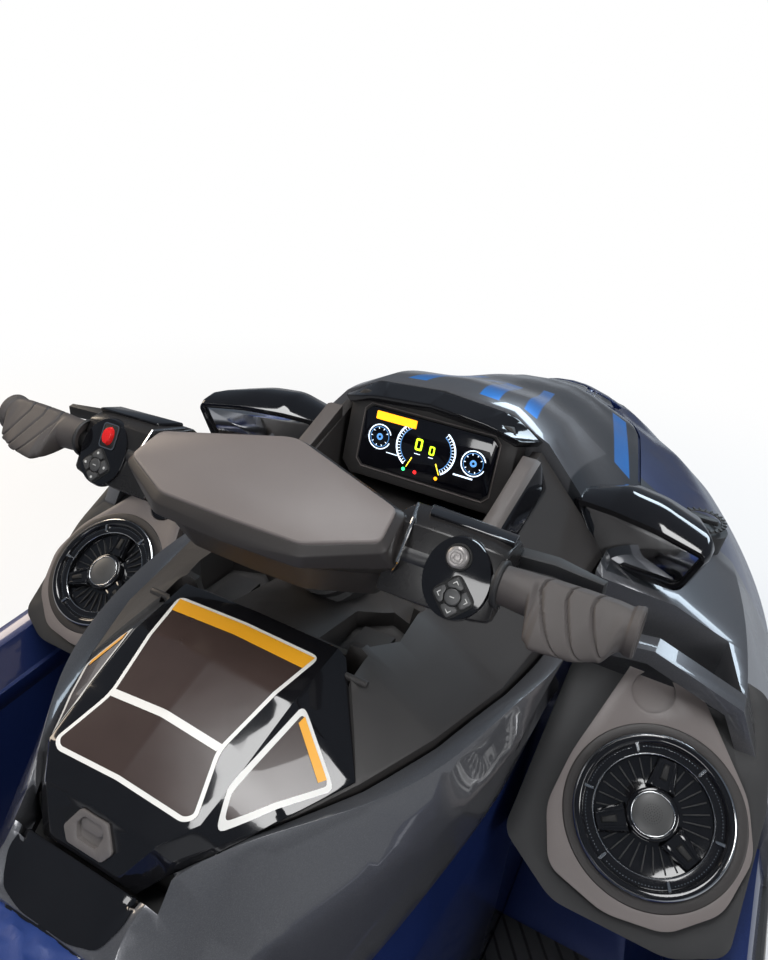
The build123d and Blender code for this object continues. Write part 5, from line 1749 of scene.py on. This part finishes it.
def cushion(name, source):
    graph = bpy.context.evaluated_depsgraph_get()
    solid = bpy.data.meshes.new_from_object(nodes[source].evaluated_get(graph))
    obj = bpy.data.objects.new(name, solid)
    scene.collection.objects.link(obj)
    remesh = obj.modifiers.new("remesh", "REMESH")
    remesh.mode = "VOXEL"
    remesh.voxel_size = VOXEL
    base = smoothed(obj, 8)
    tuck(base)
    start = [v.co.copy() for v in base.vertices]
    blown = inflate(obj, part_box(source)[0].z + HELD_HIGH)
    furthest = 0.0
    for v, p in zip(blown.vertices, start):
        move = v.co - p
        furthest = max(furthest, move.length)
        if move.length > CAP:
            v.co = p + move * (CAP / move.length)
    final = smoothed(obj, 3)
    final.materials.clear()
    final.materials.append(M["seat_vinyl"])
    final.shade_smooth()
    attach(obj, "craft")
    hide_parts(source)
    print(name, len(final.polygons), "faces, furthest move", round(furthest / MM, 1), "mm")
    return obj


cushions = [cushion("seat_cushion_front", "seat_front"), cushion("seat_cushion_rear", "seat_rear")]

# %% [markdown]
# Welts stand up where the vinyl's panels meet: one along each shoulder of the seat and
# a row of chevrons across its top. Stitches follow them on both sides. Each line is
# given in plan as a function of the share of the way along it, and its points are
# dropped on to the cushions, so the seams lie on whatever shape the cloth took.

# %% Seat seams
WELT_R, WELT_STEP, WELT_LIFT = 0.0022, 0.008, 0.0006
STITCH_R, STITCH_STEP, STITCH_OFF, STITCH_LIFT = 0.0007, 0.011, 0.006, 0.0002
STITCH_FROM, STITCH_TO = 0.2, 0.8
SHOULDER_Y = 0.118
SHOULDERS = [(-0.04, -0.53), (-0.60, -0.97)]
CHEVRONS = [-0.10, -0.20, -0.30, -0.40, -0.66, -0.76, -0.86]
CHEVRON_LEAN = 0.05
seat_tree = tree_of(cushions)
seams = Parts()


def on_seat(x, y, lift):
    hit, normal = below(seat_tree, x, y)
    return hit + normal * lift if hit is not None else None


def seam(line):
    a, b = Vector(line(0.0)), Vector(line(1.0))
    count = max(8, int((b - a).length / WELT_STEP))
    points = [on_seat(*line(i / count), WELT_LIFT) for i in range(count + 1)]
    seams.tube([p for p in points if p], WELT_R)
    beside = Vector((-(b - a).y, (b - a).x)).normalized() * STITCH_OFF
    count = int((b - a).length / STITCH_STEP)
    for sign in (-1, 1):
        for i in range(count):
            ends = []
            for t in ((i + STITCH_FROM) / count, (i + STITCH_TO) / count):
                x, y = line(t)
                ends.append(on_seat(x + beside.x * sign, y + beside.y * sign, STITCH_LIFT))
            if all(ends):
                seams.tube(ends, STITCH_R, 1, 5)


for x0, x1 in SHOULDERS:
    for side in (1, -1):
        seam(lambda t: (x0 + (x1 - x0) * t, SHOULDER_Y * side))
for x0 in CHEVRONS:
    for side in (1, -1):
        seam(lambda t: (x0 - CHEVRON_LEAN * (1 - t), SHOULDER_Y * side * t))
seams.make("seat_seams", "craft", [M["seat_vinyl"], THREAD])

# %% [markdown]
# Between the lid and the seat lies a gloss black shield, over the cap and the rims of
# the side panels. It is laid on them as the labels are on the lid.

# %% Shield
# Port half in plan, from the front.
SHIELD = [(0.0495, 0.050), (0.047, 0.072), (0.028, 0.074), (0.006, 0.060), (-0.001, 0.030)]
SHIELD_ROUND, SHIELD_CELL, SHIELD_LIFT = 0.008, 0.004, 0.0012
shield_tree = tree_of([nodes["rear_cap"], nodes["body_cover"]])
shield = Parts()
shield_mesh = drop(shield_tree, rounded(across(SHIELD), SHIELD_ROUND), SHIELD_CELL, SHIELD_LIFT)
shield.add(Matrix.Identity(4), *shield_mesh)
shield.make("seat_shield", "craft", [M["piano_black"]])

# %% [markdown]
# A bright insert runs round the craft in the rub rail. Its path isn't drawn: at each
# station along the craft a fan of rays comes in from the side, and the insert lies
# where the rail stands out most.

# %% Rail insert
RAIL_X, RAIL_STEP, INSERT_R = (-1.60, 1.44), 0.04, 0.0035
RAYS, RAIL_LEVEL, RAY_FROM = 24, 0.0005, 2.0
rail_tree = tree_of([nodes["rub_rails"]])
rail_low, rail_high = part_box("rub_rails")


def rail_point(x):
    best = []
    for i in range(1, RAYS):
        z = rail_low.z + (rail_high.z - rail_low.z) * i / RAYS
        hit, _, _, _ = rail_tree.ray_cast(Vector((x, RAY_FROM, z)), Vector((0, -1, 0)))
        if hit is None:
            continue
        if hit.y > 0 and (not best or hit.y > best[0].y + RAIL_LEVEL):
            best = [hit]
        elif best and abs(hit.y - best[0].y) <= RAIL_LEVEL:
            best.append(hit)
    return sum(best, Vector()) / len(best) if best else None


rail_count = int((RAIL_X[1] - RAIL_X[0]) / RAIL_STEP)
rail_path = [rail_point(RAIL_X[0] + RAIL_STEP * i) for i in range(rail_count + 1)]
inserts = Parts()
inserts.tube([p for p in rail_path if p is not None], INSERT_R)
inserts.mirrored()
inserts.make("rail_inserts", "craft", [SILVER])

# %% [markdown]
# The fuel cap is gripped by hand, so it has a bar across it and ribs round its rim.
# Both are shares of the cap's radius, which is read from the CAD node's box.

# %% Fuel cap
CAP_RING = [(0.86, -1.0), (0.84, 1.0), (0.70, 1.6), (0.68, 0.2)]
BAR_LONG, BAR_HALF, BAR_TOP, RIB_COUNT = 0.6, 6, 7, 24
cap_low, cap_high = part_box("fuel_cap")
cap_mid = (cap_low + cap_high) / 2
cap_r = (cap_high.x - cap_low.x) / 2 / MM
cap_at = facing((cap_mid.x / MM, cap_mid.y / MM, cap_high.z / MM), (0, 1, 0), (0, 0, 1))
cap_bar = box_outline(-cap_r * BAR_LONG, -BAR_HALF, cap_r * BAR_LONG, BAR_HALF)
cap_rib = [(cap_r * 0.72, -1.4), (cap_r * 0.9, -1.8), (cap_r * 0.9, 1.8), (cap_r * 0.72, 1.4)]
cap = Parts()
cap.ring(cap_at, [(cap_r * share, h) for share, h in CAP_RING], 40)
cap.prism(cap_at, rounded(cap_bar, 3, 3), -0.5, BAR_TOP, 0, 0.1)
for rib_at in spread_round(cap_at, RIB_COUNT):
    cap.prism(rib_at, cap_rib, 0.4, 2.6, 0, 0.1)
cap.make("fuel_cap_ribs", "craft", [M["matte_black"]], 0.0004, 2)
